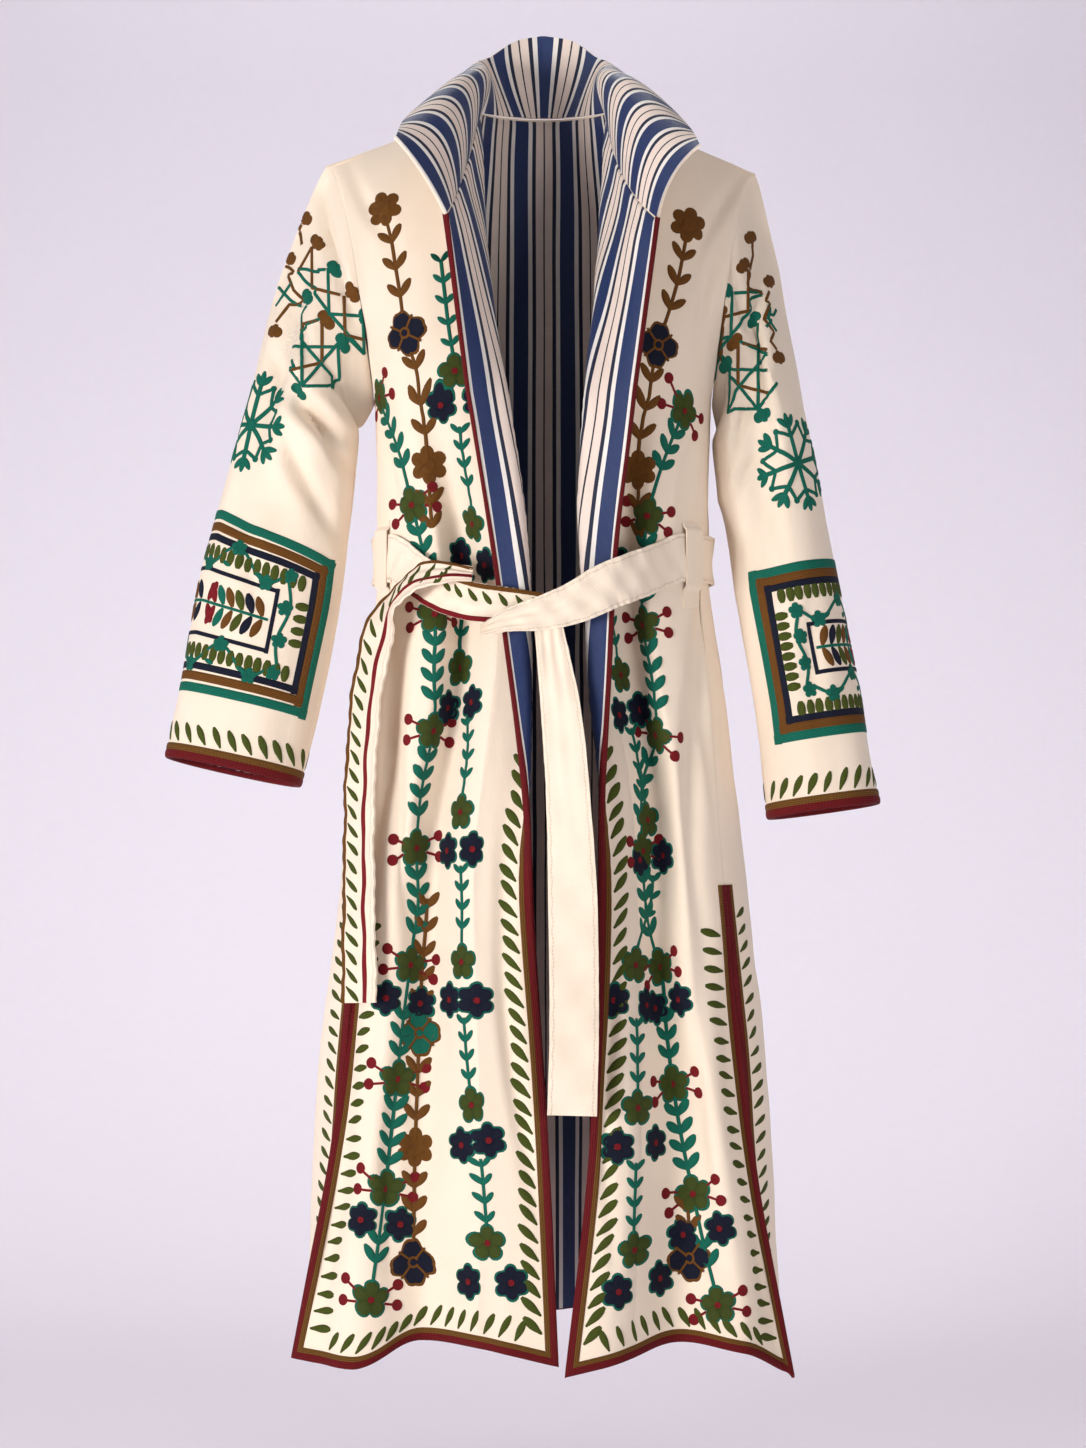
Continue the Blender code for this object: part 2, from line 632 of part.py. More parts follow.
# The loops that hold the belt at the sides: how far out, their height, and their width.
Loop = namedtuple("Loop", "out top bottom width")
LOOPS = {"left": Loop(0.1505, -0.384, -0.461, 0.011), "right": Loop(0.1400, -0.388, -0.468, 0.015)}
LOOP_CLOTH = 0.0015
LOOP_TURN = 0.8
BELT_LIFT = 0.0012
LOOP_BELT_Z = -0.421


def torso_frame(degrees, z):
    """A point of the unfolded torso, out from the middle, and the direction straight out of its cloth."""
    half, front, back = (smooth(LEVELS, z, name) for name in ("front_half", "front", "back"))
    depth = front if degrees < 90 else back
    found = torso_arc(half, depth, degrees - 0.5, degrees + 0.5, 3)
    tangent = unit(found[2] - found[0])
    return found[1], np.array([-tangent[1], tangent[0]]) * -1


def strand_start(side):
    """Where a free stretch of the belt goes on from the belt's back piece: still on the torso, falling."""
    first = angle_at(LOOPS[side].out, smooth(LEVELS, LOOP_BELT_Z, "front_half")) - LOOP_TURN
    found = []
    for back_by, fall in [(0, 0.0), (7, 0.0), (14, 0.005), (20, 0.012)][: 4 if side == "left" else 3]:
        z = LOOP_BELT_Z - fall
        flat, out = torso_frame(first - back_by, z)
        point = flat + out * (BELT_LIFT + BELT + 0.2 * fall)
        found.append(Strand(SIGN[side] * point[0], point[1], z, BELT_WIDTH - 0.3 * fall, 0))
    return found


def ribbon(name, points, thickness, finish, rows=2, count=18):
    """A flat band along a smooth line, its face turned about the line by each row's turn."""
    line = np.array([(p.x, p.y, p.z) for p in points])
    run = lengths(line)
    knots = [StrandKnot(run[k] / run[-1], *points[k]) for k in range(len(points))]
    grid = np.zeros((rows + 1, count, 3))
    normal = np.zeros_like(grid)
    stops = np.linspace(0, 1, count)
    centre = np.array([[smooth(knots, s, axis, "at") for axis in ("x", "y", "z")] for s in stops])
    tangent = np.gradient(centre, axis=0)
    for j, s in enumerate(stops):
        ahead = unit(tangent[j])
        hanging = np.array([0.0, -1.0, 0.0]) + ahead * ahead[1]
        level = np.array([ahead[1], -ahead[0], 0.0]) * math.copysign(1.0, ahead[0])
        share = step((math.hypot(ahead[0], ahead[1]) - 0.3) / 0.4)
        facing = (1 - share) * hanging + share * level
        facing = unit(facing - ahead * ahead.dot(facing))
        up = np.cross(facing, ahead)
        turn = math.radians(smooth(knots, s, "turn", "at"))
        c, s_turn = math.cos(turn), math.sin(turn)
        width = smooth(knots, s, "width", "at")
        for i in range(rows + 1):
            grid[i, j] = centre[j] + (up * c - facing * s_turn) * width * (i / rows - 0.5)
            normal[i, j] = facing * c + up * s_turn
    return wall(name, grid, normal, 0.0, thickness, finish)


def belt_back(finish):
    """The belt from the left loop round the back to the right one."""
    count, rows = 36, 3
    ends = [angle_at(LOOPS[side].out, smooth(LEVELS, LOOP_BELT_Z, "front_half")) for side in SIGN]
    grid, normal = np.zeros((rows, count, 3)), np.zeros((rows, count, 3))
    for i in range(rows):
        for j, turn in enumerate(np.linspace(-ends[0] - LOOP_TURN, ends[1] + LOOP_TURN - 360, count)):
            side = -1.0 if turn > -180 else 1.0
            degrees = -turn if turn > -180 else turn + 360
            z = LOOP_BELT_Z + BELT_WIDTH * (0.5 - i / (rows - 1))
            z -= 0.008 * step(1 - abs(180 - degrees) / 110)
            flat, out = torso_frame(degrees, z)
            grid[i, j] = (side * flat[0], flat[1], z)
            normal[i, j] = (side * out[0], out[1], 0)
    return wall("belt_back", grid, normal, BELT_LIFT + BELT, BELT, finish)


def belt_loop(side, finish):
    """A strip that lies on the cloth above and below the belt and stands over it between."""
    loop = LOOPS[side]
    low, high = 0.0005, BELT_LIFT + BELT + 0.0008
    over, under = LOOP_BELT_Z + 0.5 * BELT_WIDTH + 0.004, LOOP_BELT_Z - 0.5 * BELT_WIDTH - 0.004
    above, below = over + 0.004, under - 0.004
    rows = [(loop.top, low), (above, low), (over, high), (under, high), (below, low), (loop.bottom, low)]
    grid, normal = np.zeros((len(rows), 4, 3)), np.zeros((len(rows), 4, 3))
    for i, (z, lift) in enumerate(rows):
        for j in range(4):
            out_at = loop.out + SIGN[side] * loop.width * (j / 3 - 0.5)
            flat, out = torso_frame(angle_at(out_at, smooth(LEVELS, z, "front_half")), z)
            point = flat + out * (lift + LOOP_CLOTH)
            grid[i, j] = (SIGN[side] * point[0], point[1], z)
            normal[i, j] = (SIGN[side] * out[0], out[1], 0)
    return wall("belt_loop_" + side, grid, normal, 0.0, LOOP_CLOTH, finish)


def meet(*places):
    """Brings the normals at (array, index) places of one seam together, but not across a sharp crease."""
    own = [np.array(array[index]) for array, index in places]
    mean = unit(sum(own))
    for (array, index), normal in zip(places, own):
        apart = 2 * math.degrees(math.acos(min(1.0, max(-1.0, float(mean.dot(normal))))))
        share = step((120 - apart) / 40)
        array[index] = unit((1 - share) * normal + share * mean)


def seam_normals(out, columns):
    """Mitres the walls' normals along the side, shoulder, armhole and neck seams."""
    last = len(YOKE_ROWS)
    for side in ("left", "right"):
        front, sleeve, column = out["front_" + side], out["sleeve_" + side], columns[side]
        neck = np.array(SIDE_NECK) * (SIGN[side], 1, 1)
        tip = np.array(SHOULDER[side]) * (SIGN[side], 1, 1)
        along_seam = unit(tip - neck)
        up = unit(np.array([0, 0, 1.0]) - along_seam * along_seam[2])
        front[0, NECK_COLUMNS:-1] = up
        low = len(BACK_LEFT)
        shoulder = slice(1, low - 1) if side == "left" else slice(-low + 1, -1)
        out["back"][0, shoulder] = up
        for i in range(last, ROWS):
            meet((front, (i, -1)), (out["back"], (i, column)))
        for i in range(1, last):
            meet((front, (i, -1)), (sleeve, (0, 2 * i)))
            meet((out["back"], (i, column)), (sleeve, (0, 4 * last - 2 * i)))
        front[0, -1] = out["back"][0, column] = sleeve[0, 0] = unit(up + unit(sleeve[0, 0]))
        for k in range(1, 4 * last, 2):
            sleeve[0, k] = unit(sleeve[0, k - 1] + sleeve[0, (k + 1) % (4 * last)])
    collar = out["collar"]
    width = collar.shape[1]
    for k in range(NECK_COLUMNS - 1):
        meet((out["front_left"], (0, k)), (collar, (0, k)))
        meet((out["front_right"], (0, k)), (collar, (0, width - 1 - k)))
    for k, j in enumerate(range(*NECK_REACH.indices(len(BACK_SHARES)))):
        meet((out["back"], (0, j)), (collar, (0, NECK_COLUMNS + k)))
    side_necks = (
        ("left", NECK_COLUMNS - 1, NECK_REACH.start - 1),
        ("right", width - NECK_COLUMNS, NECK_REACH.stop),
    )
    for side, k, j in side_necks:
        front = out["front_" + side]
        mean = unit(front[0, NECK_COLUMNS - 1] + out["back"][0, j] + collar[0, k])
        front[0, NECK_COLUMNS - 1] = out["back"][0, j] = collar[0, k] = mean


def open_seams(grids):
    """Moves each piece's sewn edges into its own cloth, so that neighbours stand a small gap apart."""
    half = GAP / 2
    for side in ("left", "right"):
        front = grids["front_" + side]
        front[:, -1] += half * directions(front[:, -2] - front[:, -1])
        front[0] += half * directions(front[1] - front[0])
        sleeve = grids["sleeve_" + side]
        sleeve[0] += GAP * directions(sleeve[1] - sleeve[0])
    back = grids["back"]
    back[:, 0] += half * directions(back[:, 1] - back[:, 0])
    back[:, -1] += half * directions(back[:, -2] - back[:, -1])
    back[0] += half * directions(back[1] - back[0])
    grids["collar"][0] += 2 * GAP * directions(grids["collar"][1] - grids["collar"][0])


def directions(vectors):
    return vectors / np.linalg.norm(vectors, axis=-1)[..., None]


for old in list(bpy.data.objects):
    bpy.data.objects.remove(old)
COAT = bpy.data.collections.new("belted_coat")
bpy.context.scene.collection.children.link(COAT)

FRONT_SHARES = front_shares()
BACK_SHARES = back_shares()
NECK_COLUMNS = 12
BACK_LEFT = [share for share in BACK_SHARES if share <= BACK_NECK_SHARES[0]]
NECK_REACH = slice(len(BACK_LEFT), len(BACK_SHARES) - len(BACK_LEFT))
LINED_COLUMNS = 13


def main():
    cream = material("cream_cloth", CREAM, 0.85)
    stripe = material("striped_lining", STRIPE_BLUE, 0.5)
    strap = material("belt_cloth", CREAM, 0.8)
    red = material("red_braid", BRAID_RED, 0.8)

    columns = {"left": 0, "right": len(BACK_SHARES) - 1}
    grids = {"back": back_grid(BACK_SHARES)}
    for side in ("left", "right"):
        grids["front_" + side] = front_grid(side, FRONT_SHARES)
        hole = armhole_loop(grids["front_" + side], grids["back"], columns[side])
        grids["sleeve_" + side] = sleeve_grid(side, hole)
    grids["collar"] = collar_grid(grids["front_left"], grids["front_right"], grids["back"])

    out = {
        "back": normals(grids["back"], lambda point, normal: normal[1] > 0),
        "collar": normals(grids["collar"], lambda point, normal: normal[1] > 0),
    }
    for side in ("left", "right"):
        front = grids["front_" + side]
        out["front_" + side] = normals(front, lambda point, normal: normal[1] < 0)
        sleeve = grids["sleeve_" + side]
        middle = sleeve[len(sleeve) // 2].mean(0)
        out["sleeve_" + side] = normals(sleeve, lambda point, normal: normal.dot(point - middle) > 0, True)
    seam_normals(out, columns)
    open_seams(grids)

    lining = -CLOTH - LINING_GAP
    binding = lining - LINING - LINING_GAP
    braid = LINING_GAP + BRAID
    for name, grid in grids.items():
        wall(name, grid, out[name], 0.0, CLOTH, cream, wrap=name.startswith("sleeve"))
    wall("collar_lining", grids["collar"], out["collar"], lining, LINING, stripe)
    wall("lining_back", grids["back"], out["back"], lining, LINING, stripe)
    slit_left, slit_right = 0, len(BACK_SHARES) - 2
    hem = ROWS - 2
    wall("braid_back", grids["back"], out["back"], braid, BRAID, red,
         lambda i, j: i == hem or (i >= SLIT_ROW and j in (slit_left, slit_right)))
    for side in ("left", "right"):
        front, normal = grids["front_" + side], out["front_" + side]
        slit = len(FRONT_SHARES) - 2
        wall("lining_front_" + side, front, normal, lining, LINING, stripe, lambda i, j: j < LINED_COLUMNS)
        wall("binding_" + side, front, normal, binding, LINING, red, lambda i, j: j == 0)
        wall("braid_front_" + side, front, normal, braid, BRAID, red,
             lambda i, j: j < 2 or i == hem or (i >= SLIT_ROW and j == slit))
        sleeve, normal = grids["sleeve_" + side], out["sleeve_" + side]
        wall("cuff_braid_" + side, sleeve, normal, braid, BRAID, red, lambda i, j: i == len(sleeve) - 2, True)
        belt_loop(side, strap)
    belt_back(strap)
    for name, points in STRANDS.items():
        start = [] if "end" in name else strand_start(name[5:])
        ribbon(name, start + points, BELT, strap, count=26 if name == "belt_end_left" else 18)


main()
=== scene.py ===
"""A long belted coat: its cloth, striped lining, edge braid and stitched flowers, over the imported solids.

Metres, +Z up, the front faces -Y. Every panel is a sheet laid over the same surface as its solid, with
rows that run across the cloth and columns that run down it.
"""
import math
import random
from collections import namedtuple

import bpy
import numpy as np
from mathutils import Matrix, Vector


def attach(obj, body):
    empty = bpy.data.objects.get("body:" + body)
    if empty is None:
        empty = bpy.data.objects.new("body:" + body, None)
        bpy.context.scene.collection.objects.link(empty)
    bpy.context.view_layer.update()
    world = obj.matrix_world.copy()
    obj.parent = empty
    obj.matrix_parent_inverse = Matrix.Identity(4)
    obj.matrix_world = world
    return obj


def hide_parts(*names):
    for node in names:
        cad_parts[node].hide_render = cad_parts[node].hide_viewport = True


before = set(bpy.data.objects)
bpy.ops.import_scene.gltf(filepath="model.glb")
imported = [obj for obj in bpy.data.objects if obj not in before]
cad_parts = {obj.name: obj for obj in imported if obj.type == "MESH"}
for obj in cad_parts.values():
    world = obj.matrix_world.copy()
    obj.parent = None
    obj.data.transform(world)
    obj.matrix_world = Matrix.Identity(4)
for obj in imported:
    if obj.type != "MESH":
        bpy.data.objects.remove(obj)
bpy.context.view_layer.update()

CLOTH = 0.0020
LINING = 0.0010
LINING_GAP = 0.0005
BELT = 0.0028
BRAID_WIDTH = 0.011
BELT_WIDTH = 0.046
BELT_Z = -0.436
UNDERARM_Z = -0.270
HEM_Z = -1.176
SLIT_TOP_Z = -0.730
SQUARENESS = 2.4
STRIPE_REPEAT = 0.0480
SIGN = {"left": -1.0, "right": 1.0}

# The camera stands straight in front, and the photograph's pixels are 0.95 mm on the coat.
EYE = (0.0, -3.40, -0.579)
LENS = 86.9
PICTURE = (1086, 1448)

Level = namedtuple("Level", "z front_half back_half front back seam")
LEVELS = [
    Level(-0.270, 0.163, 0.163, 0.116, 0.106, 86),
    Level(-0.355, 0.161, 0.161, 0.116, 0.096, 78),
    Level(-0.436, 0.161, 0.161, 0.112, 0.088, 70),
    Level(-0.555, 0.177, 0.177, 0.119, 0.104, 63),
    Level(-0.730, 0.197, 0.197, 0.128, 0.122, 59),
    Level(-0.940, 0.224, 0.220, 0.138, 0.136, 58),
    Level(-1.190, 0.264, 0.231, 0.148, 0.152, 64),
]
Edge = namedtuple("Edge", "z out turned radius turn")
EDGES = {
    "left": [
        Edge(-0.102, 0.0930, 0.066, 0.010, 2.70),
        Edge(-0.157, 0.0888, 0.066, 0.010, 2.70),
        Edge(-0.226, 0.0788, 0.063, 0.010, 2.70),
        Edge(-0.284, 0.0684, 0.058, 0.009, 2.70),
        Edge(-0.412, 0.0480, 0.044, 0.007, 3.05),
        Edge(-0.493, 0.0370, 0.038, 0.007, 3.05),
        Edge(-0.632, 0.0200, 0.024, 0.009, 2.85),
        Edge(-0.760, 0.0110, 0.008, 0.010, 2.85),
        Edge(-0.936, -0.0020, 0.000, 0.009, 2.85),
        Edge(-1.190, -0.0140, 0.000, 0.009, 2.85),
    ],
    "right": [
        Edge(-0.105, 0.1090, 0.078, 0.010, 2.70),
        Edge(-0.149, 0.0960, 0.074, 0.010, 2.70),
        Edge(-0.223, 0.0912, 0.070, 0.010, 2.70),
        Edge(-0.284, 0.0845, 0.066, 0.009, 2.70),
        Edge(-0.425, 0.0684, 0.046, 0.007, 3.05),
        Edge(-0.537, 0.0627, 0.034, 0.007, 3.05),
        Edge(-0.632, 0.0580, 0.022, 0.009, 2.85),
        Edge(-0.760, 0.0540, 0.008, 0.010, 2.85),
        Edge(-0.964, 0.0447, 0.000, 0.009, 2.85),
        Edge(-1.190, 0.0200, 0.000, 0.009, 2.85),
    ],
}
Fold = namedtuple("Fold", "z at width depth slip")
FOLDS = {
    "left": [
        [
            Fold(-0.270, 0.068, 0.060, 0.000, 0.000),
            Fold(-0.370, 0.052, 0.062, 0.022, 0.008),
            Fold(-0.436, 0.047, 0.064, 0.033, 0.014),
            Fold(-0.590, 0.060, 0.070, 0.034, 0.014),
            Fold(-0.700, 0.078, 0.078, 0.034, 0.012),
            Fold(-0.860, 0.100, 0.100, 0.034, 0.010),
            Fold(-1.000, 0.118, 0.130, 0.036, 0.010),
            Fold(-1.190, 0.120, 0.160, 0.042, 0.010),
        ],
        [
            Fold(-0.500, 0.130, 0.050, 0.000, 0.000),
            Fold(-0.620, 0.140, 0.055, 0.008, 0.000),
            Fold(-0.860, 0.200, 0.070, 0.006, 0.000),
            Fold(-1.190, 0.235, 0.060, 0.004, 0.000),
        ],
    ],
    "right": [
        [
            Fold(-0.270, 0.040, 0.060, 0.000, 0.000),
            Fold(-0.370, 0.032, 0.060, 0.020, 0.008),
            Fold(-0.436, 0.030, 0.060, 0.030, 0.013),
            Fold(-0.632, 0.036, 0.066, 0.034, 0.015),
            Fold(-0.803, 0.050, 0.074, 0.034, 0.013),
            Fold(-0.964, 0.080, 0.096, 0.034, 0.010),
            Fold(-1.190, 0.108, 0.150, 0.040, 0.008),
        ],
        [
            Fold(-0.500, 0.110, 0.050, 0.000, 0.000),
            Fold(-0.640, 0.125, 0.055, 0.007, 0.000),
            Fold(-0.860, 0.165, 0.070, 0.006, 0.000),
            Fold(-1.190, 0.205, 0.060, 0.004, 0.000),
        ],
    ],
}
Flute = namedtuple("Flute", "at width depth top_z")
BACK_FLUTES = [
    Flute(0.16, 0.12, 0.020, -0.52),
    Flute(0.34, 0.13, 0.028, -0.46),
    Flute(0.50, 0.11, 0.018, -0.50),
    Flute(0.66, 0.13, 0.030, -0.46),
    Flute(0.84, 0.12, 0.020, -0.54),
]
Hem = namedtuple("Hem", "at rise")
HEM_RISE = {
    "left": [Hem(0.0, 0.000), Hem(0.25, 0.014), Hem(0.5, 0.016), Hem(0.75, -0.008), Hem(1.0, -0.004)],
    "right": [Hem(0.0, -0.010), Hem(0.25, 0.004), Hem(0.5, 0.014), Hem(0.75, 0.006), Hem(1.0, -0.022)],
    "back": [Hem(0.0, 0.004), Hem(0.3, 0.010), Hem(0.5, 0.006), Hem(0.7, 0.010), Hem(1.0, 0.002)],
}
Ring = namedtuple("Ring", "z out y half_width half_depth")
SLEEVES = {
    "left": [
        Ring(-0.155, 0.187, 0.000, 0.050, 0.070),
        Ring(-0.215, 0.219, -0.004, 0.053, 0.062),
        Ring(-0.305, 0.237, -0.008, 0.058, 0.056),
        Ring(-0.390, 0.253, -0.013, 0.065, 0.050),
        Ring(-0.465, 0.266, -0.020, 0.069, 0.047),
        Ring(-0.560, 0.284, -0.030, 0.068, 0.044),
        Ring(-0.624, 0.298, -0.037, 0.066, 0.042),
    ],
    "right": [
        Ring(-0.158, 0.181, 0.000, 0.047, 0.070),
        Ring(-0.215, 0.197, -0.004, 0.047, 0.066),
        Ring(-0.305, 0.211, -0.008, 0.047, 0.064),
        Ring(-0.390, 0.224, -0.012, 0.050, 0.060),
        Ring(-0.465, 0.239, -0.018, 0.050, 0.058),
        Ring(-0.560, 0.256, -0.026, 0.051, 0.055),
        Ring(-0.662, 0.270, -0.034, 0.054, 0.050),
    ],
}
Crease = namedtuple("Crease", "top bottom start end width depth")
CREASES = {
    "left": [Crease(40, 58, 0.02, 0.50, 34, 0.014), Crease(120, 60, 0.36, 0.56, 60, 0.010)],
    "right": [Crease(96, 112, 0.08, 0.62, 34, 0.016), Crease(178, 140, 0.40, 0.58, 60, 0.008)],
}
SIDE_NECK = (0.064, -0.012, 0.0150)
SHOULDER = {"left": (0.2105, -0.012, -0.0385), "right": (0.2065, -0.012, -0.0460)}
BACK_NECK = (0.0, 0.052, 0.0180)
FRONT_NECK = {"left": (0.0930, -0.1310, -0.102), "right": (0.1090, -0.1290, -0.105)}
TURN_NECK = {"left": (0.0775, -0.0760, -0.053), "right": (0.0780, -0.0740, -0.055)}
NECK_SHARE = 0.27
BACK_NECK_SHARES = (0.35, 0.65)
Turn = namedtuple("Turn", "base_y roll_out roll_y roll_z out y z")
COLLAR = {
    "left": [
        Turn(0.052, 0.000, 0.061, 0.060, 0.000, 0.060, 0.102),
        Turn(0.036, 0.040, 0.046, 0.056, 0.026, 0.056, 0.096),
        Turn(0.010, 0.056, 0.016, 0.055, 0.056, 0.034, 0.074),
        Turn(-0.012, 0.056, -0.012, 0.053, 0.084, -0.008, 0.044),
        Turn(-0.045, 0.070, -0.052, 0.036, 0.106, -0.056, 0.018),
        Turn(-0.085, 0.090, -0.098, -0.006, 0.128, -0.104, -0.010),
        Turn(-0.131, 0.115, -0.142, -0.064, 0.139, -0.146, -0.034),
    ],
    "right": [
        Turn(0.052, 0.000, 0.061, 0.060, 0.000, 0.060, 0.102),
        Turn(0.036, 0.040, 0.046, 0.056, 0.028, 0.056, 0.096),
        Turn(0.010, 0.056, 0.016, 0.055, 0.058, 0.034, 0.072),
        Turn(-0.012, 0.058, -0.012, 0.051, 0.088, -0.008, 0.042),
        Turn(-0.045, 0.072, -0.052, 0.034, 0.112, -0.056, 0.016),
        Turn(-0.085, 0.096, -0.098, -0.010, 0.134, -0.104, -0.016),
        Turn(-0.131, 0.124, -0.142, -0.070, 0.148, -0.146, -0.042),
    ],
}
Strand = namedtuple("Strand", "x y z width turn")
STRANDS = {
    "belt_right": [
        Strand(0.0950, -0.1210, -0.4370, 0.046, 2),
        Strand(0.0640, -0.1420, -0.4490, 0.045, 6),
        Strand(0.0250, -0.1510, -0.4680, 0.038, 0),
        Strand(-0.0050, -0.1540, -0.4770, 0.031, 0),
        Strand(-0.0350, -0.1520, -0.4830, 0.020, 0),
        Strand(-0.0580, -0.1440, -0.4920, 0.010, -10),
    ],
    "belt_left": [
        Strand(-0.0900, -0.1190, -0.4570, 0.038, 6),
        Strand(-0.0600, -0.1350, -0.4655, 0.036, 6),
        Strand(-0.0300, -0.1412, -0.4680, 0.032, 2),
        Strand(0.0000, -0.1440, -0.4700, 0.026, 0),
    ],
    "belt_end_left": [
        Strand(-0.0660, -0.1310, -0.4385, 0.012, -10),
        Strand(-0.0880, -0.1310, -0.4365, 0.020, -24),
        Strand(-0.1120, -0.1210, -0.4385, 0.030, -36),
        Strand(-0.1380, -0.1020, -0.4560, 0.040, -44),
        Strand(-0.1590, -0.0870, -0.5020, 0.046, -48),
        Strand(-0.1710, -0.0860, -0.5800, 0.046, -50),
        Strand(-0.1750, -0.0900, -0.6700, 0.046, -50),
        Strand(-0.1750, -0.0960, -0.7400, 0.046, -48),
        Strand(-0.1740, -0.1040, -0.8420, 0.046, -42),
    ],
    "belt_end_center": [
        Strand(0.0040, -0.1482, -0.4740, 0.024, 0),
        Strand(0.0060, -0.1484, -0.4930, 0.027, 0),
        Strand(0.0100, -0.1490, -0.5200, 0.031, 0),
        Strand(0.0170, -0.1500, -0.5700, 0.038, -10),
        Strand(0.0240, -0.1520, -0.6600, 0.042, -10),
        Strand(0.0280, -0.1540, -0.7600, 0.046, 0),
        Strand(0.0290, -0.1580, -0.8500, 0.046, 6),
        Strand(0.0270, -0.1620, -0.9420, 0.046, 0),
    ],
}
StrandKnot = namedtuple("StrandKnot", "at x y z width turn")
Loop = namedtuple("Loop", "out top bottom width")
LOOPS = {"left": Loop(0.1505, -0.384, -0.461, 0.011), "right": Loop(0.1400, -0.388, -0.468, 0.015)}
LOOP_CLOTH = 0.0015
LOOP_TURN = 0.8
BELT_LIFT = 0.0012
LOOP_BELT_Z = -0.421

YOKE_STEPS = [0.0, 0.12, 0.27, 0.45, 0.64, 0.82, 1.0]
YOKE_FINE = 6


def mean_slope(a, b):
    return 0.0 if a * b <= 0 else 2 * a * b / (a + b)


def smooth(rows, place, name, key="z"):
    """The named column at a place between rows, on a curve through them that doesn't overshoot much."""
    order = sorted(rows, key=lambda row: getattr(row, key))
    at = [getattr(row, key) for row in order]
    value = [getattr(row, name) for row in order]
    if place <= at[0]:
        return value[0]
    if place >= at[-1]:
        return value[-1]
    i = max(k for k in range(len(at) - 1) if at[k] <= place)
    slopes = [(value[k + 1] - value[k]) / (at[k + 1] - at[k]) for k in range(len(at) - 1)]
    before = slopes[i] if i == 0 else mean_slope(slopes[i - 1], slopes[i])
    after = slopes[i] if i == len(slopes) - 1 else mean_slope(slopes[i], slopes[i + 1])
    span = at[i + 1] - at[i]
    t = (place - at[i]) / span
    return (
        (2 * t**3 - 3 * t**2 + 1) * value[i]
        + (t**3 - 2 * t**2 + t) * span * before
        + (3 * t**2 - 2 * t**3) * value[i + 1]
        + (t**3 - t**2) * span * after
    )


def step(t):
    t = np.clip(t, 0.0, 1.0)
    return t * t * (3 - 2 * t)


def bump(t):
    return np.where(np.abs(t) < 0.5, 0.5 * (1 + np.cos(2 * np.pi * np.asarray(t))), 0.0)


def directions(vectors):
    return vectors / np.maximum(np.linalg.norm(vectors, axis=-1), 1e-12)[..., None]


def lengths(points):
    return np.concatenate([[0.0], np.cumsum(np.linalg.norm(np.diff(points, axis=0), axis=1))])


def along(points, shares):
    """Points at the given shares of a line's length."""
    run = lengths(points)
    places = np.asarray(shares) * run[-1]
    return np.stack([np.interp(places, run, points[:, k]) for k in range(points.shape[1])], 1)


def torso_arc(half, depth, first, last, count=140):
    turn = np.radians(np.linspace(first, last, count))
    s, c = np.sin(turn), np.cos(turn)
    power = 2 / SQUARENESS
    return np.stack(
        [half * np.sign(s) * np.abs(s) ** power, -depth * np.sign(c) * np.abs(c) ** power], 1
    )


def angle_at(out, half):
    return math.degrees(math.asin(math.copysign(min(1.0, abs(out / half)) ** (SQUARENESS / 2), out)))


def turn_back(length, radius, turn):
    here, found = np.zeros(2), [np.zeros(2)]
    for k in range(int(round(length / 0.001))):
        heading = min((k + 0.5) * 0.001 / radius, turn)
        here = here + 0.001 * np.array([-math.cos(heading), -math.sin(heading)])
        found.append(here)
    return np.array(found)


def front_section(side, z):
    """(out, y) from a front's edge to its side seam, at one height."""
    half, edge = smooth(LEVELS, z, "front_half"), EDGES[side]
    turned = turn_back(smooth(edge, z, "turned"), smooth(edge, z, "radius"), smooth(edge, z, "turn"))
    start = smooth(edge, z, "out") - turned[-1][0]
    flat = torso_arc(half, smooth(LEVELS, z, "front"), angle_at(start, half), smooth(LEVELS, z, "seam"))
    flat = along(flat, np.linspace(0, 1, 240))
    run = lengths(flat)
    tangent = directions(np.gradient(flat, axis=0))
    inwards = np.stack([-tangent[:, 1], tangent[:, 0]], 1)
    folded = flat.copy()
    for fold in FOLDS[side]:
        at, width = smooth(fold, z, "at"), smooth(fold, z, "width")
        reach = bump((run - at) / width) * step(run / 0.02) * step((run[-1] - run) / 0.02)
        pushed = smooth(fold, z, "depth") * inwards + smooth(fold, z, "slip") * tangent
        folded += reach[:, None] * pushed
    return np.concatenate([(turned + folded[0])[::-1][:-1], folded])


def back_section(z):
    """(x, y) from the left side seam round the back to the right one, at one height."""
    half, depth = smooth(LEVELS, z, "back_half"), smooth(LEVELS, z, "back")
    side = torso_arc(half, smooth(LEVELS, z, "front"), smooth(LEVELS, z, "seam"), 90, 50)
    right = np.concatenate([side[:-1], torso_arc(half, depth, 90, 180, 120)])
    line = along(np.concatenate([(right * (-1, 1))[:-1], right[::-1]]), np.linspace(0, 1, 400))
    share = np.linspace(0, 1, 400)
    tangent = directions(np.gradient(line, axis=0))
    inwards = np.stack([tangent[:, 1], -tangent[:, 0]], 1)
    for flute in BACK_FLUTES:
        fall = step((flute.top_z - z) / (flute.top_z - HEM_Z))
        line = line + (flute.depth * fall * bump((share - flute.at) / flute.width))[:, None] * inwards
    return line


def front_top(side, share):
    front, turn = np.array(FRONT_NECK[side]), np.array(TURN_NECK[side])
    neck, shoulder = np.array(SIDE_NECK), np.array(SHOULDER[side])
    if share < NECK_SHARE:
        t = (share / NECK_SHARE) ** 1.4
        return (1 - t) ** 2 * front + 2 * t * (1 - t) * (2 * turn - 0.5 * (front + neck)) + t**2 * neck
    return neck + (share - NECK_SHARE) / (1 - NECK_SHARE) * (shoulder - neck)


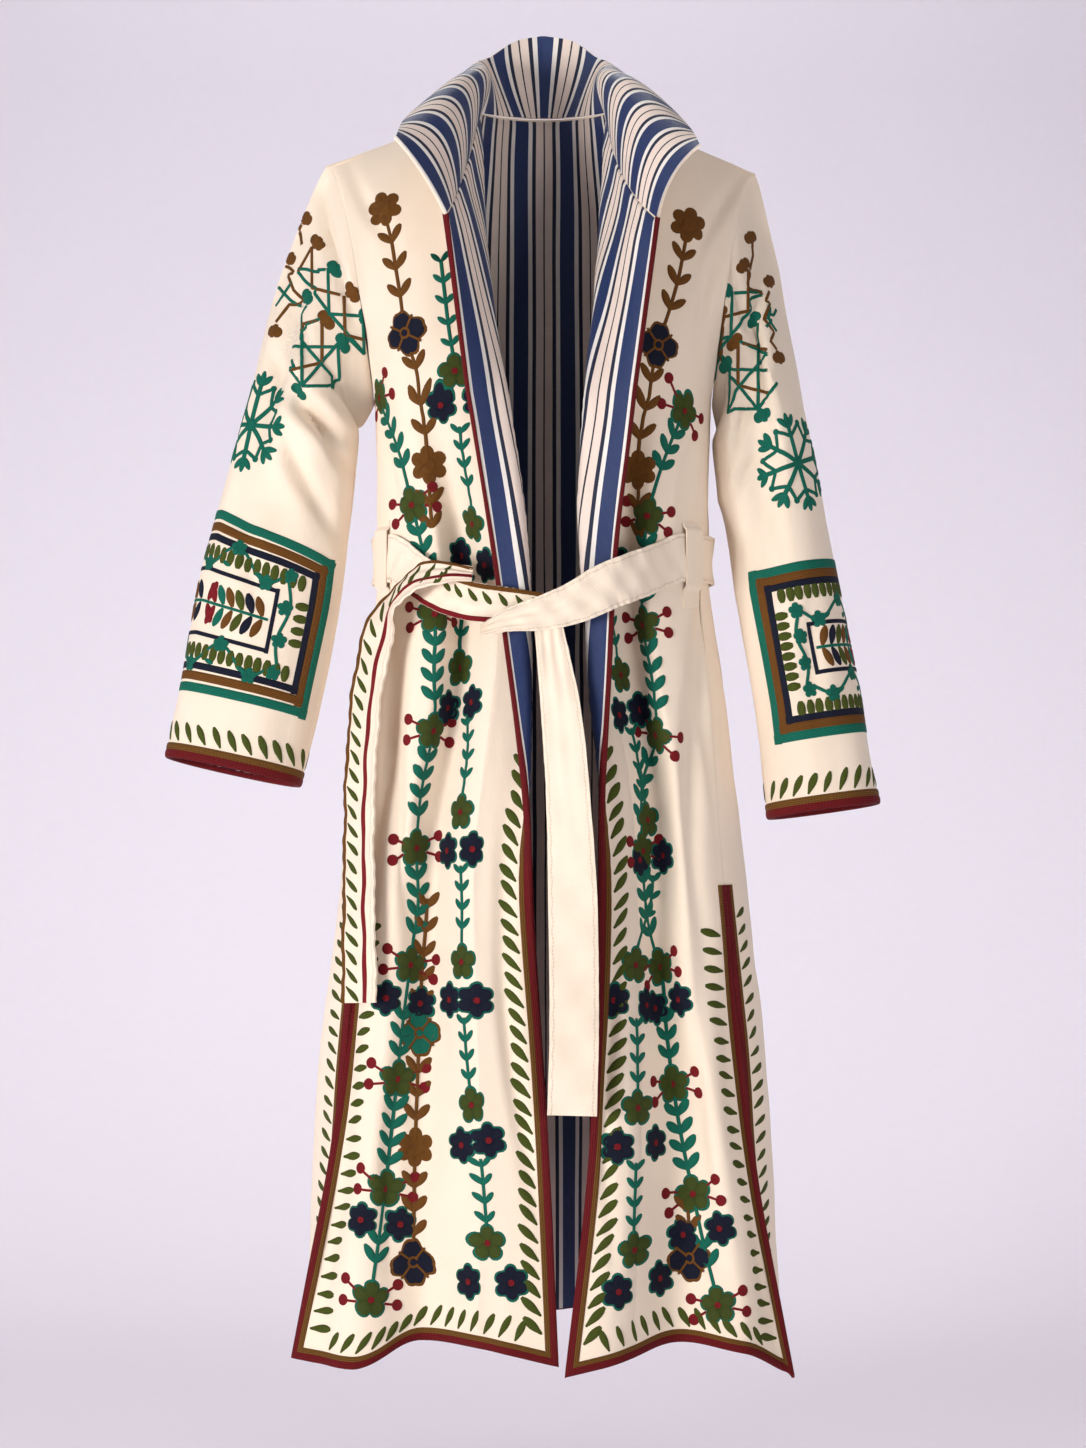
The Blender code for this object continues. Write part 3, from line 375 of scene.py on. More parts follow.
def back_top(share):
    low, high = BACK_NECK_SHARES
    if share <= low or share >= high:
        side = "left" if share <= low else "right"
        t = share / low if share <= low else (1 - share) / (1 - high)
        point = np.array(SHOULDER[side]) + t * (np.array(SIDE_NECK) - np.array(SHOULDER[side]))
        return point * (SIGN[side], 1, 1)
    t = (share - low) / (high - low) * 2 - 1
    neck, nape = np.array(SIDE_NECK), np.array(BACK_NECK)
    rise = (1 - t * t) ** 0.8
    return np.array([t * neck[0], neck[1] + (nape[1] - neck[1]) * rise, neck[2] + (nape[2] - neck[2]) * rise])


def yoke(top, below, t, armhole, neck, bulge):
    """Points between a panel's top edge and its underarm row, down one column."""
    phi = 0.5 * math.pi * t
    x = top[0] + (below[0] - top[0]) * t ** (1 - 0.45 * armhole)
    reach = (1 - neck) * (0.7 * np.sin(phi) + 0.3 * t) + neck * (0.15 * np.sin(phi) + 0.85 * t)
    y = top[1] + (below[1] - top[1]) * reach + bulge * armhole * np.sin(math.pi * t)
    fall = (1 - armhole) * (1 - np.cos(phi)) + armhole * t
    fall = (1 - neck) * (0.25 * t + 0.75 * fall) + neck * t
    return np.stack([x, y, top[2] + (below[2] - top[2]) * fall], 1)


YOKE_T = np.interp(np.arange(6 * YOKE_FINE) / YOKE_FINE, np.arange(7), YOKE_STEPS)
LOWER_Z = np.linspace(UNDERARM_Z, HEM_Z, 150)


def drop(rise, z):
    return rise * step((SLIT_TOP_Z - z) / (SLIT_TOP_Z - HEM_Z - 0.014))


def panel(section, top, shares, armhole, neck, bulge, rises):
    lower = np.array([along(section(z), shares) for z in LOWER_Z])
    grid = np.zeros((len(YOKE_T) + len(LOWER_Z), len(shares), 3))
    for j, share in enumerate(shares):
        below = np.array([*lower[0, j], UNDERARM_Z])
        grid[: len(YOKE_T), j] = yoke(top(share), below, YOKE_T, armhole(share), neck(share), bulge)
        rise = smooth(rises, share, "rise", "at")
        grid[len(YOKE_T):, j, :2] = lower[:, j]
        grid[len(YOKE_T):, j, 2] = LOWER_Z + drop(rise, LOWER_Z)
    return grid


def front_grid(side, shares):
    grid = panel(
        lambda z: front_section(side, z),
        lambda share: front_top(side, share),
        shares,
        lambda share: share**3,
        lambda share: float(step((0.45 - share) / 0.20)),
        -0.046,
        HEM_RISE[side],
    )
    slit = np.where(LOWER_Z < SLIT_TOP_Z, 0.0012 + 0.004 * step((SLIT_TOP_Z - LOWER_Z) / 0.4), 0.0)
    reach = np.clip((shares - 0.952) / 0.048, 0, 1)
    grid[len(YOKE_T):, :, 1] -= slit[:, None] * reach[None]
    return grid * (SIGN[side], 1, 1)


def back_grid(shares):
    armhole = lambda share: abs(2 * share - 1) ** 5
    return panel(back_section, back_top, shares, armhole, lambda share: 0.0, 0.050, HEM_RISE["back"])


def sleeve_grid(side, hole, stops):
    """Rings from the armhole to the cuff, given the armhole as a loop from the shoulder forwards and round."""
    rings, sign = SLEEVES[side], SIGN[side]
    line = np.array([(r.out * sign, r.y, r.z) for r in rings])
    line[0] = hole.mean(0)
    run = lengths(line)
    total = run[-1]
    turn = 2 * np.pi * np.arange(len(hole)) / len(hole)
    degrees = np.degrees(turn)
    grid = np.zeros((len(stops), len(hole), 3))
    for i, share in enumerate(stops):
        place = share * total
        centre, ahead, behind = (
            np.array([np.interp(np.clip(p, 0, total), run, line[:, k]) for k in range(3)])
            for p in (place, place + 0.03, place - 0.03)
        )
        axis = directions(ahead - behind)
        forward = directions(np.array([0, -1, 0]) - axis * (-axis[1]))
        lateral = np.cross(axis, forward)
        lateral = lateral * np.sign(lateral[0] * sign)
        width, depth = smooth(rings, centre[2], "half_width"), smooth(rings, centre[2], "half_depth")
        c, s, n = np.cos(turn), np.sin(turn), 2 / 2.2
        wide = width * np.sign(c) * np.abs(c) ** n
        deep = depth * np.sign(s) * np.abs(s) ** n
        pressed = np.zeros(len(hole))
        for crease in CREASES[side]:
            along_it = (share - crease.start) / (crease.end - crease.start)
            if 0 < along_it < 1:
                middle = crease.top + (crease.bottom - crease.top) * along_it
                reach = bump((degrees - middle) / (2 * crease.width))
                pressed += crease.depth * math.sin(math.pi * along_it) * reach
        round_ring = centre + wide[:, None] * lateral + deep[:, None] * forward
        from_hole = hole + centre - line[0]
        point = from_hole + step(share / 0.34) * (round_ring - from_hole)
        grid[i] = point - pressed[:, None] * directions(point - centre)
    return grid


def armhole_loop(front, back, back_column):
    last = len(YOKE_T)
    loop = [front[i, -1] for i in range(last + 1)] + [back[i, back_column] for i in range(last - 1, 0, -1)]
    full = []
    for k, point in enumerate(loop):
        full += [point, 0.5 * (point + loop[(k + 1) % len(loop)])]
    return np.array(full)


def collar_edge(side, point, nape, names):
    """Where the collar's roll or free edge stands over a point of the neck, spread evenly behind the neck."""
    y = point[1]
    if y > SIDE_NECK[1]:
        ways = np.linspace(nape, SIDE_NECK[1], 60)
        run = lengths(np.array([[smooth(COLLAR[side], way, name, "base_y") for name in names] for way in ways]))
        y = float(np.interp(min(1.0, abs(point[0]) / SIDE_NECK[0]) * run[-1], run, ways))
    return np.array([smooth(COLLAR[side], y, name, "base_y") for name in names]) * (SIGN[side], 1, 1)


def collar_grid(base, heights):
    grid = np.zeros((len(heights), len(base), 3))
    h = np.asarray(heights)[:, None]
    nape = max(point[1] for point in base)
    for j, point in enumerate(base):
        side = "left" if point[0] < 0 else "right"
        roll = collar_edge(side, point, nape, ("roll_out", "roll_y", "roll_z"))
        free = collar_edge(side, point, nape, ("out", "y", "z"))
        pull = 2 * roll - 0.5 * (point + free)
        grid[:, j] = (1 - h) ** 2 * point + 2 * h * (1 - h) * pull + h**2 * free
    return grid


def torso_frame(degrees, z):
    half, front, back = (smooth(LEVELS, z, name) for name in ("front_half", "front", "back"))
    found = torso_arc(half, front if degrees < 90 else back, degrees - 0.5, degrees + 0.5, 3)
    tangent = directions(found[2] - found[0])
    return found[1], np.array([tangent[1], -tangent[0]])


def strand_start(side):
    first = angle_at(LOOPS[side].out, smooth(LEVELS, LOOP_BELT_Z, "front_half")) - LOOP_TURN
    found = []
    for back_by, fall in [(0, 0.0), (7, 0.0), (14, 0.005), (20, 0.012)][: 4 if side == "left" else 3]:
        z = LOOP_BELT_Z - fall
        flat, out = torso_frame(first - back_by, z)
        point = flat + out * (BELT_LIFT + BELT + 0.2 * fall)
        found.append(Strand(SIGN[side] * point[0], point[1], z, BELT_WIDTH - 0.3 * fall, 0))
    return found


def strand_grid(points, rows, count):
    """A belt stretch as rows across its width and columns along it, with the direction that it faces."""
    line = np.array([(p.x, p.y, p.z) for p in points])
    run = lengths(line)
    knots = [StrandKnot(run[k] / run[-1], *points[k]) for k in range(len(points))]
    grid, normal = np.zeros((rows + 1, count, 3)), np.zeros((rows + 1, count, 3))
    stops = np.linspace(0, 1, count)
    centre = np.array([[smooth(knots, s, axis, "at") for axis in ("x", "y", "z")] for s in stops])
    tangent = directions(np.gradient(centre, axis=0))
    for j, s in enumerate(stops):
        ahead = tangent[j]
        hanging = np.array([0.0, -1.0, 0.0]) + ahead * ahead[1]
        level = np.array([ahead[1], -ahead[0], 0.0]) * math.copysign(1.0, ahead[0])
        share = step((math.hypot(ahead[0], ahead[1]) - 0.3) / 0.4)
        facing = (1 - share) * hanging + share * level
        facing = directions(facing - ahead * ahead.dot(facing))
        up = np.cross(facing, ahead)
        turn = math.radians(smooth(knots, s, "turn", "at"))
        facing, up = (
            facing * math.cos(turn) + up * math.sin(turn),
            up * math.cos(turn) - facing * math.sin(turn),
        )
        width = smooth(knots, s, "width", "at")
        for i in range(rows + 1):
            grid[i, j] = centre[j] + up * width * (i / rows - 0.5)
            normal[i, j] = facing
    return grid, normal


def belt_back_grid(rows, count):
    ends = [angle_at(LOOPS[side].out, smooth(LEVELS, LOOP_BELT_Z, "front_half")) for side in SIGN]
    grid = np.zeros((rows, count, 3))
    for i in range(rows):
        for j, turn in enumerate(np.linspace(-ends[0] - LOOP_TURN, ends[1] + LOOP_TURN - 360, count)):
            side, degrees = (-1.0, -turn) if turn > -180 else (1.0, turn + 360)
            z = LOOP_BELT_Z + BELT_WIDTH * (0.5 - i / (rows - 1)) - 0.008 * step(1 - abs(180 - degrees) / 110)
            flat, out = torso_frame(degrees, z)
            flat = flat + out * (BELT_LIFT + BELT)
            grid[i, j] = (side * flat[0], flat[1], z)
    return grid


def loop_grid(side, rows, columns):
    loop = LOOPS[side]
    low, high = 0.0005, BELT_LIFT + BELT + 0.0008
    over, under = LOOP_BELT_Z + 0.5 * BELT_WIDTH + 0.004, LOOP_BELT_Z - 0.5 * BELT_WIDTH - 0.004
    stops = [(loop.top, low), (over + 0.004, low), (over, high), (under, high), (under - 0.004, low), (loop.bottom, low)]
    line = along(np.array(stops), np.linspace(0, 1, rows))
    grid = np.zeros((rows, columns, 3))
    for i, (z, lift) in enumerate(line):
        for j in range(columns):
            out_at = loop.out + SIGN[side] * loop.width * (j / (columns - 1) - 0.5)
            flat, out = torso_frame(angle_at(out_at, smooth(LEVELS, z, "front_half")), z)
            flat = flat + out * (lift + LOOP_CLOTH)
            grid[i, j] = (SIGN[side] * flat[0], flat[1], z)
    return grid


def pixels(points):
    """Where the camera shows points, in the photograph's pixels."""
    focal = LENS / 36 * PICTURE[1]
    away = points[..., 1] - EYE[1]
    across = PICTURE[0] / 2 + points[..., 0] / away * focal
    return np.stack([across, PICTURE[1] / 2 - (points[..., 2] - EYE[2]) / away * focal], -1)


class Cloth:
    """A sheet's surface: points, the way out of it, and distances across and down it."""

    def __init__(self, points, outside):
        self.points = points
        self.settle(outside)

    def settle(self, outside=None):
        points = self.points
        cell = directions(np.cross(points[1:, 1:] - points[:-1, :-1], points[1:, :-1] - points[:-1, 1:]))
        normal = np.zeros_like(points)
        for rows in (slice(0, -1), slice(1, None)):
            for columns in (slice(0, -1), slice(1, None)):
                normal[rows, columns] += cell
        if self.wrapped():
            normal[:, 0] = normal[:, -1] = normal[:, 0] + normal[:, -1]
        normal = directions(normal)
        i, j = points.shape[0] // 2, points.shape[1] // 2
        if outside is not None:
            self.flip = 1.0 if outside(points[i, j], normal[i, j]) else -1.0
        self.normal = normal * self.flip
        step_across = np.linalg.norm(np.diff(points, axis=1), axis=2)
        step_down = np.linalg.norm(np.diff(points, axis=0), axis=2)
        self.across = np.pad(np.cumsum(step_across, 1), ((0, 0), (1, 0)))
        self.down = np.pad(np.cumsum(step_down, 0), ((1, 0), (0, 0)))
        self.seen = pixels(points)
        self.slopes = (np.gradient(points, axis=0), np.gradient(points, axis=1))

    def wrapped(self):
        return np.allclose(self.points[:, 0], self.points[:, -1], atol=1e-7)

    def sample(self, field, spot):
        """A field at (row, column) places between the grid's points."""
        spot = np.atleast_2d(spot)
        top = np.array(field.shape[:2]) - 1
        spot = np.clip(spot, 0, top - 1e-6)
        i, j = spot[:, 0].astype(int), spot[:, 1].astype(int)
        a, b = spot[:, 0] - i, spot[:, 1] - j
        if field.ndim == 3:
            a, b = a[:, None], b[:, None]
        return (
            (1 - a) * (1 - b) * field[i, j]
            + (1 - a) * b * field[i, j + 1]
            + a * (1 - b) * field[i + 1, j]
            + a * b * field[i + 1, j + 1]
        )

    def solve(self, fields, wanted, start):
        """The (row, column) where two fields take the wanted values."""
        spot = np.array(start, float)
        limit = np.array(self.points.shape[:2]) - 1.0
        for turn in range(12):
            here = np.array([self.sample(f, spot)[0] for f in fields])
            slope = np.zeros((2, 2))
            for k, move in enumerate(((0.5, 0.0), (0.0, 0.5))):
                ahead = np.clip(spot + move, 0, limit)
                behind = np.clip(spot - move, 0, limit)
                gap = (ahead - behind)[k]
                for n, field in enumerate(fields):
                    slope[n, k] = (self.sample(field, ahead)[0] - self.sample(field, behind)[0]) / gap
            if abs(np.linalg.det(slope)) < 1e-14:
                break
            move = np.linalg.solve(slope, np.array(wanted) - here)
            longest = max(1.0, np.abs(move / (12.0, 12.0)).max())
            spot = np.clip(spot + move / longest, 0, limit)
        return spot

    def by_pixel(self, x, y):
        """The spot that the camera shows at a pixel of the photograph."""
        away = np.linalg.norm(self.seen - (x, y), axis=2) + np.where(self.normal[..., 1] < 0, 0, 60)
        nearest = np.where(away < 9, self.points[..., 1] * 1000, 400)
        start = np.unravel_index(np.argmin(away + nearest), away.shape)
        found = self.solve((self.seen[..., 0], self.seen[..., 1]), (x, y), start)
        return found if np.linalg.norm(found - start) < 6 else np.array(start, float)

    def by_edge(self, fields, wanted):
        near = np.abs(fields[0] - wanted[0]) + np.abs(fields[1] - wanted[1])
        return self.solve(fields, wanted, np.unravel_index(np.argmin(near), near.shape))

    def by_height(self, across, z):
        return self.by_edge((self.across, self.points[..., 2]), (across, z))


    def shift(self, spots, vectors):
        """The steps in (row, column) that move points on the cloth by small vectors."""
        a, b = (self.sample(slope, spots) for slope in self.slopes)
        aa, ab, bb = (a * a).sum(1), (a * b).sum(1), (b * b).sum(1)
        av, bv = (a * vectors).sum(1), (b * vectors).sum(1)
        room = np.maximum(aa * bb - ab * ab, 1e-16)
        return np.stack([(bb * av - ab * bv) / room, (aa * bv - ab * av) / room], 1)

    def right_and_up(self, spot, upwards=None):
        """The directions to the right and up on the cloth, as one who looks at its outside sees them."""
        out = directions(self.sample(self.normal, spot)[0])
        if upwards is None:
            upwards = self.sample(self.points, spot - (1.5, 0))[0] - self.sample(self.points, spot + (1.5, 0))[0]
        up = np.array(upwards, float)
        up = directions(up - out * out.dot(up))
        return np.cross(up, out), up


def press(cloth, dents):
    """Small creases and swells pushed into a sheet: rows of pixel, slant, length, width and depth."""
    moved = cloth.points.copy()
    for x, y, slant, length, width, depth in dents:
        away = cloth.seen - (x, y)
        c, s = math.cos(math.radians(slant)), math.sin(math.radians(slant))
        run, side = away[..., 0] * c + away[..., 1] * s, away[..., 1] * c - away[..., 0] * s
        bend = side + 0.10 * run**2 / length
        across = (bend / width) ** 2
        reach = 1.6 * np.exp(-((run / length) ** 2) * 2) * (np.exp(-across * 2) - 0.42 * np.exp(-across * 0.5))
        facing = np.clip(-cloth.normal[..., 1], 0, 1)
        moved -= (depth * reach * facing)[..., None] * cloth.normal
    cloth.points = moved
    cloth.settle()


def soften(cloth, seed, height=0.0011):
    """A hand-pressed unevenness: low waves that fade at the sheet's edges."""
    draw = random.Random(seed)
    u, v = cloth.across, cloth.down
    waves = np.zeros(u.shape)
    for k in range(14):
        size = draw.uniform(0.045, 0.14)
        lean = draw.uniform(-0.5, 0.5)
        phase = draw.uniform(0, 6.3)
        waves += math.pow(size / 0.14, 0.8) * np.sin(2 * np.pi * (u + lean * v) / size + phase + 2 * np.sin(v / 0.21 + phase))
    edge = np.minimum(u, u[:, -1:] - u) if not cloth.wrapped() else np.full(u.shape, 1.0)
    fade = step(edge / 0.03) * step(v / 0.04) * step((v[-1:] - v) / 0.05)
    cloth.points = cloth.points + (height * waves / 3.2 * fade)[..., None] * cloth.normal
    cloth.settle()


def spread(name, points, flat, out, thickness, closed=False):
    """A sheet: a primitive grid whose points are laid on the cloth's, given its thickness away from out."""
    rows, columns = points.shape[:2]
    bpy.ops.object.select_all(action="DESELECT")
    bpy.ops.mesh.primitive_grid_add(x_subdivisions=columns - 1, y_subdivisions=rows - 1, size=1.0)
    piece = bpy.context.object
    piece.name = piece.data.name = name
    mesh = piece.data
    square = np.zeros(len(mesh.vertices) * 3)
    mesh.vertices.foreach_get("co", square)
    square = square.reshape(-1, 3)
    j = np.rint((square[:, 0] + 0.5) * (columns - 1)).astype(int)
    i = np.rint((0.5 - square[:, 1]) * (rows - 1)).astype(int)
    mesh.vertices.foreach_set("co", points[i, j].ravel())
    corner = np.zeros(len(mesh.loops), int)
    mesh.loops.foreach_get("vertex_index", corner)
    layer = mesh.uv_layers[0] if mesh.uv_layers else mesh.uv_layers.new(name="UVMap")
    layer.data.foreach_set("uv", flat[i[corner], j[corner]].ravel())
    mesh.update()
    facing = np.zeros(len(mesh.polygons) * 3)
    mesh.polygons.foreach_get("normal", facing)
    first = np.array([polygon.vertices[0] for polygon in mesh.polygons])
    if (facing.reshape(-1, 3) * out[i[first], j[first]]).sum() < 0:
        mesh.flip_normals()
    if closed:
        bpy.ops.object.mode_set(mode="EDIT")
        bpy.ops.mesh.select_all(action="SELECT")
        bpy.ops.mesh.remove_doubles(threshold=1e-6)
        bpy.ops.object.mode_set(mode="OBJECT")
    solid = piece.modifiers.new("Cloth thickness", "SOLIDIFY")
    solid.thickness, solid.offset, solid.use_even_offset = thickness, -1.0, False
    bpy.ops.object.modifier_apply(modifier=solid.name)
    piece.data.shade_smooth()
    piece.data.set_sharp_from_angle(angle=math.radians(55))
    return piece


def dress(piece, finish, nodes=()):
    piece.data.materials.clear()
    piece.data.materials.append(finish)
    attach(piece, "root")
    if nodes:
        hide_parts(*nodes)
    return piece


def cut_of(points):
    """A sheet's flat width, length and area, measured along its own threads."""
    wide = np.linalg.norm(np.diff(points, axis=1), axis=2).sum(1)
    long = np.linalg.norm(np.diff(points, axis=0), axis=2).sum(0)
    a, b = points[1:, 1:] - points[:-1, :-1], points[1:, :-1] - points[:-1, 1:]
    area = 0.5 * np.linalg.norm(np.cross(a, b), axis=2).sum()
    flat = (round(float(wide.max()), 3), round(float(long.max()), 3))
    return {"flat": flat, "area": round(min(float(area), flat[0] * flat[1]), 4)}


def math_node(tree, operation, first, second=None, clamp=False):
    made = tree.nodes.new("ShaderNodeMath")
    made.operation, made.use_clamp = operation, clamp
    for socket, value in zip(made.inputs, (first, second)):
        if isinstance(value, (int, float)):
            socket.default_value = value
        elif value is not None:
            tree.links.new(value, socket)
    return made.outputs[0]


def group(name, inputs, outputs):
    """An empty shader group with named sockets, and its input and output nodes."""
    tree = bpy.data.node_groups.new(name, "ShaderNodeTree")
    for label, kind, value in inputs:
        socket = tree.interface.new_socket(label, in_out="INPUT", socket_type=kind)
        if value is not None:
            socket.default_value = value
    for label, kind in outputs:
        tree.interface.new_socket(label, in_out="OUTPUT", socket_type=kind)
    return tree, tree.nodes.new("NodeGroupInput").outputs, tree.nodes.new("NodeGroupOutput").inputs


def noise(tree, vector, scale, detail=2.0, roughness=0.5):
    made = tree.nodes.new("ShaderNodeTexNoise")
    made.inputs["Scale"].default_value = scale
    made.inputs["Detail"].default_value = detail
    made.inputs["Roughness"].default_value = roughness
    tree.links.new(vector, made.inputs["Vector"])
    return made.outputs["Fac"]


def blend_colours(tree, share, first, second):
    made = tree.nodes.new("ShaderNodeMix")
    made.data_type = "RGBA"
    for socket, value in zip((made.inputs[0], made.inputs[6], made.inputs[7]), (share, first, second)):
        if isinstance(value, tuple):
            socket.default_value = (*value, 1.0)
        elif isinstance(value, (int, float)):
            socket.default_value = value
        else:
            tree.links.new(value, socket)
    return made.outputs[2]


def make_twill():
    """A fine diagonal weave with a soft nap on it."""
    tree, given, result = group(
        "twill weave",
        [("Vector", "NodeSocketVector", None), ("Thread", "NodeSocketFloat", 0.0008), ("Nap", "NodeSocketFloat", 0.5)],
        [("Height", "NodeSocketFloat"), ("Tone", "NodeSocketFloat")],
    )
    parts = tree.nodes.new("ShaderNodeSeparateXYZ")
    tree.links.new(given["Vector"], parts.inputs[0])
    u = math_node(tree, "DIVIDE", parts.outputs[0], given["Thread"])
    v = math_node(tree, "DIVIDE", parts.outputs[1], given["Thread"])
    warp = math_node(tree, "SINE", math_node(tree, "MULTIPLY", math_node(tree, "ADD", u, v), 3.14159))
    weft = math_node(tree, "SINE", math_node(tree, "MULTIPLY", v, 6.2832))
    weave = math_node(tree, "ADD", math_node(tree, "MULTIPLY", warp, 0.6), math_node(tree, "MULTIPLY", weft, 0.25))
    nap = noise(tree, given["Vector"], 900.0, 3.0, 0.6)
    patch = noise(tree, given["Vector"], 14.0, 3.0, 0.55)
    raised = math_node(tree, "MULTIPLY", nap, given["Nap"])
    tree.links.new(math_node(tree, "ADD", math_node(tree, "MULTIPLY", weave, 0.3), raised), result["Height"])
    tone = math_node(tree, "ADD", math_node(tree, "MULTIPLY", nap, 0.35), math_node(tree, "MULTIPLY", patch, 0.65))
    tree.links.new(tone, result["Tone"])
    return tree


def make_chain():
    """Rows of chain stitch: each row a ridge of small loops that lean in a V; its Tone is painted shade, darker between
    the rows and loops and lighter on their crowns.
    """
    tree, given, result = group(
        "chain stitch",
        [("Vector", "NodeSocketVector", None), ("Row", "NodeSocketFloat", 0.0015), ("Stitch", "NodeSocketFloat", 0.0024)],
        [("Height", "NodeSocketFloat"), ("Tone", "NodeSocketFloat")],
    )
    parts = tree.nodes.new("ShaderNodeSeparateXYZ")
    tree.links.new(given["Vector"], parts.inputs[0])
    u = math_node(tree, "FRACT", math_node(tree, "DIVIDE", parts.outputs[0], given["Row"]))
    lane = math_node(tree, "ABSOLUTE", math_node(tree, "SUBTRACT", math_node(tree, "MULTIPLY", u, 2.0), 1.0))
    v = math_node(tree, "DIVIDE", parts.outputs[1], given["Stitch"])
    lean = math_node(tree, "ADD", v, math_node(tree, "MULTIPLY", lane, 0.45))
    loop = math_node(tree, "SINE", math_node(tree, "MULTIPLY", math_node(tree, "FRACT", lean), 3.14159))
    ridge = math_node(tree, "SUBTRACT", 1.0, math_node(tree, "POWER", lane, 2.4))
    both = math_node(tree, "MULTIPLY", ridge, math_node(tree, "ADD", math_node(tree, "MULTIPLY", loop, 0.6), 0.4))
    fuzz = noise(tree, given["Vector"], 1400.0, 2.0, 0.6)
    height = math_node(tree, "ADD", both, math_node(tree, "MULTIPLY", fuzz, 0.25))
    tree.links.new(height, result["Height"])
    # Tone: painted shade from the stitch's own height, dark in the hollows and light on the crowns, plus random fuzz.
    tree.links.new(math_node(tree, "ADD", math_node(tree, "MULTIPLY", both, 0.7), math_node(tree, "MULTIPLY", fuzz, 0.4)), result["Tone"])
    return tree


TWILL, CHAIN = make_twill(), make_chain()


def finish(name, roughness, sheen=0.0, specular=0.35):
    """A material with its shader, its tree, and the surface's own flat coordinates in metres."""
    made = bpy.data.materials.new(name)
    made.use_nodes = True
    tree = made.node_tree
    shader = tree.nodes["Principled BSDF"]
    shader.inputs["Roughness"].default_value = roughness
    shader.inputs["Sheen Weight"].default_value = sheen
    shader.inputs["Sheen Roughness"].default_value = 0.5
    shader.inputs["Specular IOR Level"].default_value = specular
    flat = tree.nodes.new("ShaderNodeUVMap").outputs["UV"]
    return made, tree, shader, flat


def relief(tree, shader, height, distance, strength=1.0):
    made = tree.nodes.new("ShaderNodeBump")
    made.inputs["Distance"].default_value = distance
    made.inputs["Strength"].default_value = strength
    tree.links.new(height, made.inputs["Height"])
    tree.links.new(made.outputs[0], shader.inputs["Normal"])


def place_group(tree, shared, vector, **values):
    made = tree.nodes.new("ShaderNodeGroup")
    made.node_tree = shared
    tree.links.new(vector, made.inputs["Vector"])
    for label, value in values.items():
        made.inputs[label].default_value = value
    return made


def cream_finish(name, light=(0.905, 0.765, 0.610), deep=(0.820, 0.665, 0.505), stitches=None):
    """Cream brushed cotton: a fine weave under a short nap, a little warmer where it is handled."""
    made, tree, shader, flat = finish(name, 0.86, sheen=0.28, specular=0.25)
    weave = place_group(tree, TWILL, flat, Thread=0.0009, Nap=0.7)
    colour = blend_colours(tree, math_node(tree, "MULTIPLY", weave.outputs["Tone"], 0.8, True), light, deep)
    height = weave.outputs["Height"]
    creased = noise(tree, flat, 42.0, 3.0, 0.55)
    height = math_node(tree, "ADD", height, math_node(tree, "MULTIPLY", creased, 1.6))
    if stitches:
        seam = stitches(tree, flat)
        colour = blend_colours(tree, math_node(tree, "MULTIPLY", seam, 0.45), colour, (0.55, 0.40, 0.27))
        height = math_node(tree, "SUBTRACT", height, math_node(tree, "MULTIPLY", seam, 2.2))
    tree.links.new(colour, shader.inputs["Base Color"])
    relief(tree, shader, height, 0.00045)
    return made


def thread_finish(name, colour):
    made, tree, shader, flat = finish(name, 0.7, sheen=0.0, specular=0.2)
    chain = place_group(tree, CHAIN, flat, Row=0.0016, Stitch=0.0024)
    # Painted shade: each thread runs from a shaded copy of its colour in the stitch hollows to a lit copy on the loops'
    # crowns.
    dark = tuple(0.35 * c for c in colour)
    light = tuple(min(1.0, 1.25 * c + 0.001) for c in colour)
    tree.links.new(blend_colours(tree, chain.outputs["Tone"], dark, light), shader.inputs["Base Color"])
    relief(tree, shader, chain.outputs["Height"], 0.00055)
    return made


def stripe_finish(name):
    """Striped lining: satin navy bands between white, dark and ecru ones."""
    made, tree, shader, flat = finish(name, 0.5, sheen=0.1, specular=0.4)
    parts = tree.nodes.new("ShaderNodeSeparateXYZ")
    tree.links.new(flat, parts.inputs[0])
    place = math_node(tree, "FRACT", math_node(tree, "ADD", math_node(tree, "DIVIDE", parts.outputs[0], STRIPE_REPEAT), 0.5))
    away = math_node(tree, "ABSOLUTE", math_node(tree, "SUBTRACT", place, 0.5))
    ramp = tree.nodes.new("ShaderNodeValToRGB")
    ramp.color_ramp.interpolation = "CONSTANT"
    navy, white, dark, ecru, black = (
        (0.008, 0.024, 0.102), (0.84, 0.78, 0.71), (0.006, 0.010, 0.036), (0.84, 0.69, 0.59), (0.012, 0.012, 0.022)
    )
    bands = [(0.0, navy), (0.0074, white), (0.0118, dark), (0.0155, ecru), (0.0232, black)]
    stops = ramp.color_ramp.elements
    for k, (at, colour) in enumerate(bands):
        stop = stops[k] if k < 2 else stops.new(at / STRIPE_REPEAT)
        stop.position, stop.color = at / STRIPE_REPEAT, (*colour, 1.0)
    tree.links.new(away, ramp.inputs[0])
    weave = place_group(tree, TWILL, flat, Thread=0.0006, Nap=0.3)
    shade = math_node(tree, "ADD", math_node(tree, "MULTIPLY", weave.outputs["Tone"], 0.35), 0.78)
    shaded = tree.nodes.new("ShaderNodeVectorMath")
    shaded.operation = "SCALE"
    tree.links.new(ramp.outputs[0], shaded.inputs[0])
    tree.links.new(shade, shaded.inputs["Scale"])
    tree.links.new(shaded.outputs[0], shader.inputs["Base Color"])
    is_navy = math_node(tree, "LESS_THAN", away, 0.0074 / STRIPE_REPEAT)
    tree.links.new(math_node(tree, "SUBTRACT", 0.62, math_node(tree, "MULTIPLY", is_navy, 0.2)), shader.inputs["Roughness"])
    creased = noise(tree, flat, 55.0, 3.0, 0.6)
    height = math_node(tree, "ADD", weave.outputs["Height"], math_node(tree, "MULTIPLY", creased, 3.0))
    relief(tree, shader, height, 0.0004)
    return made


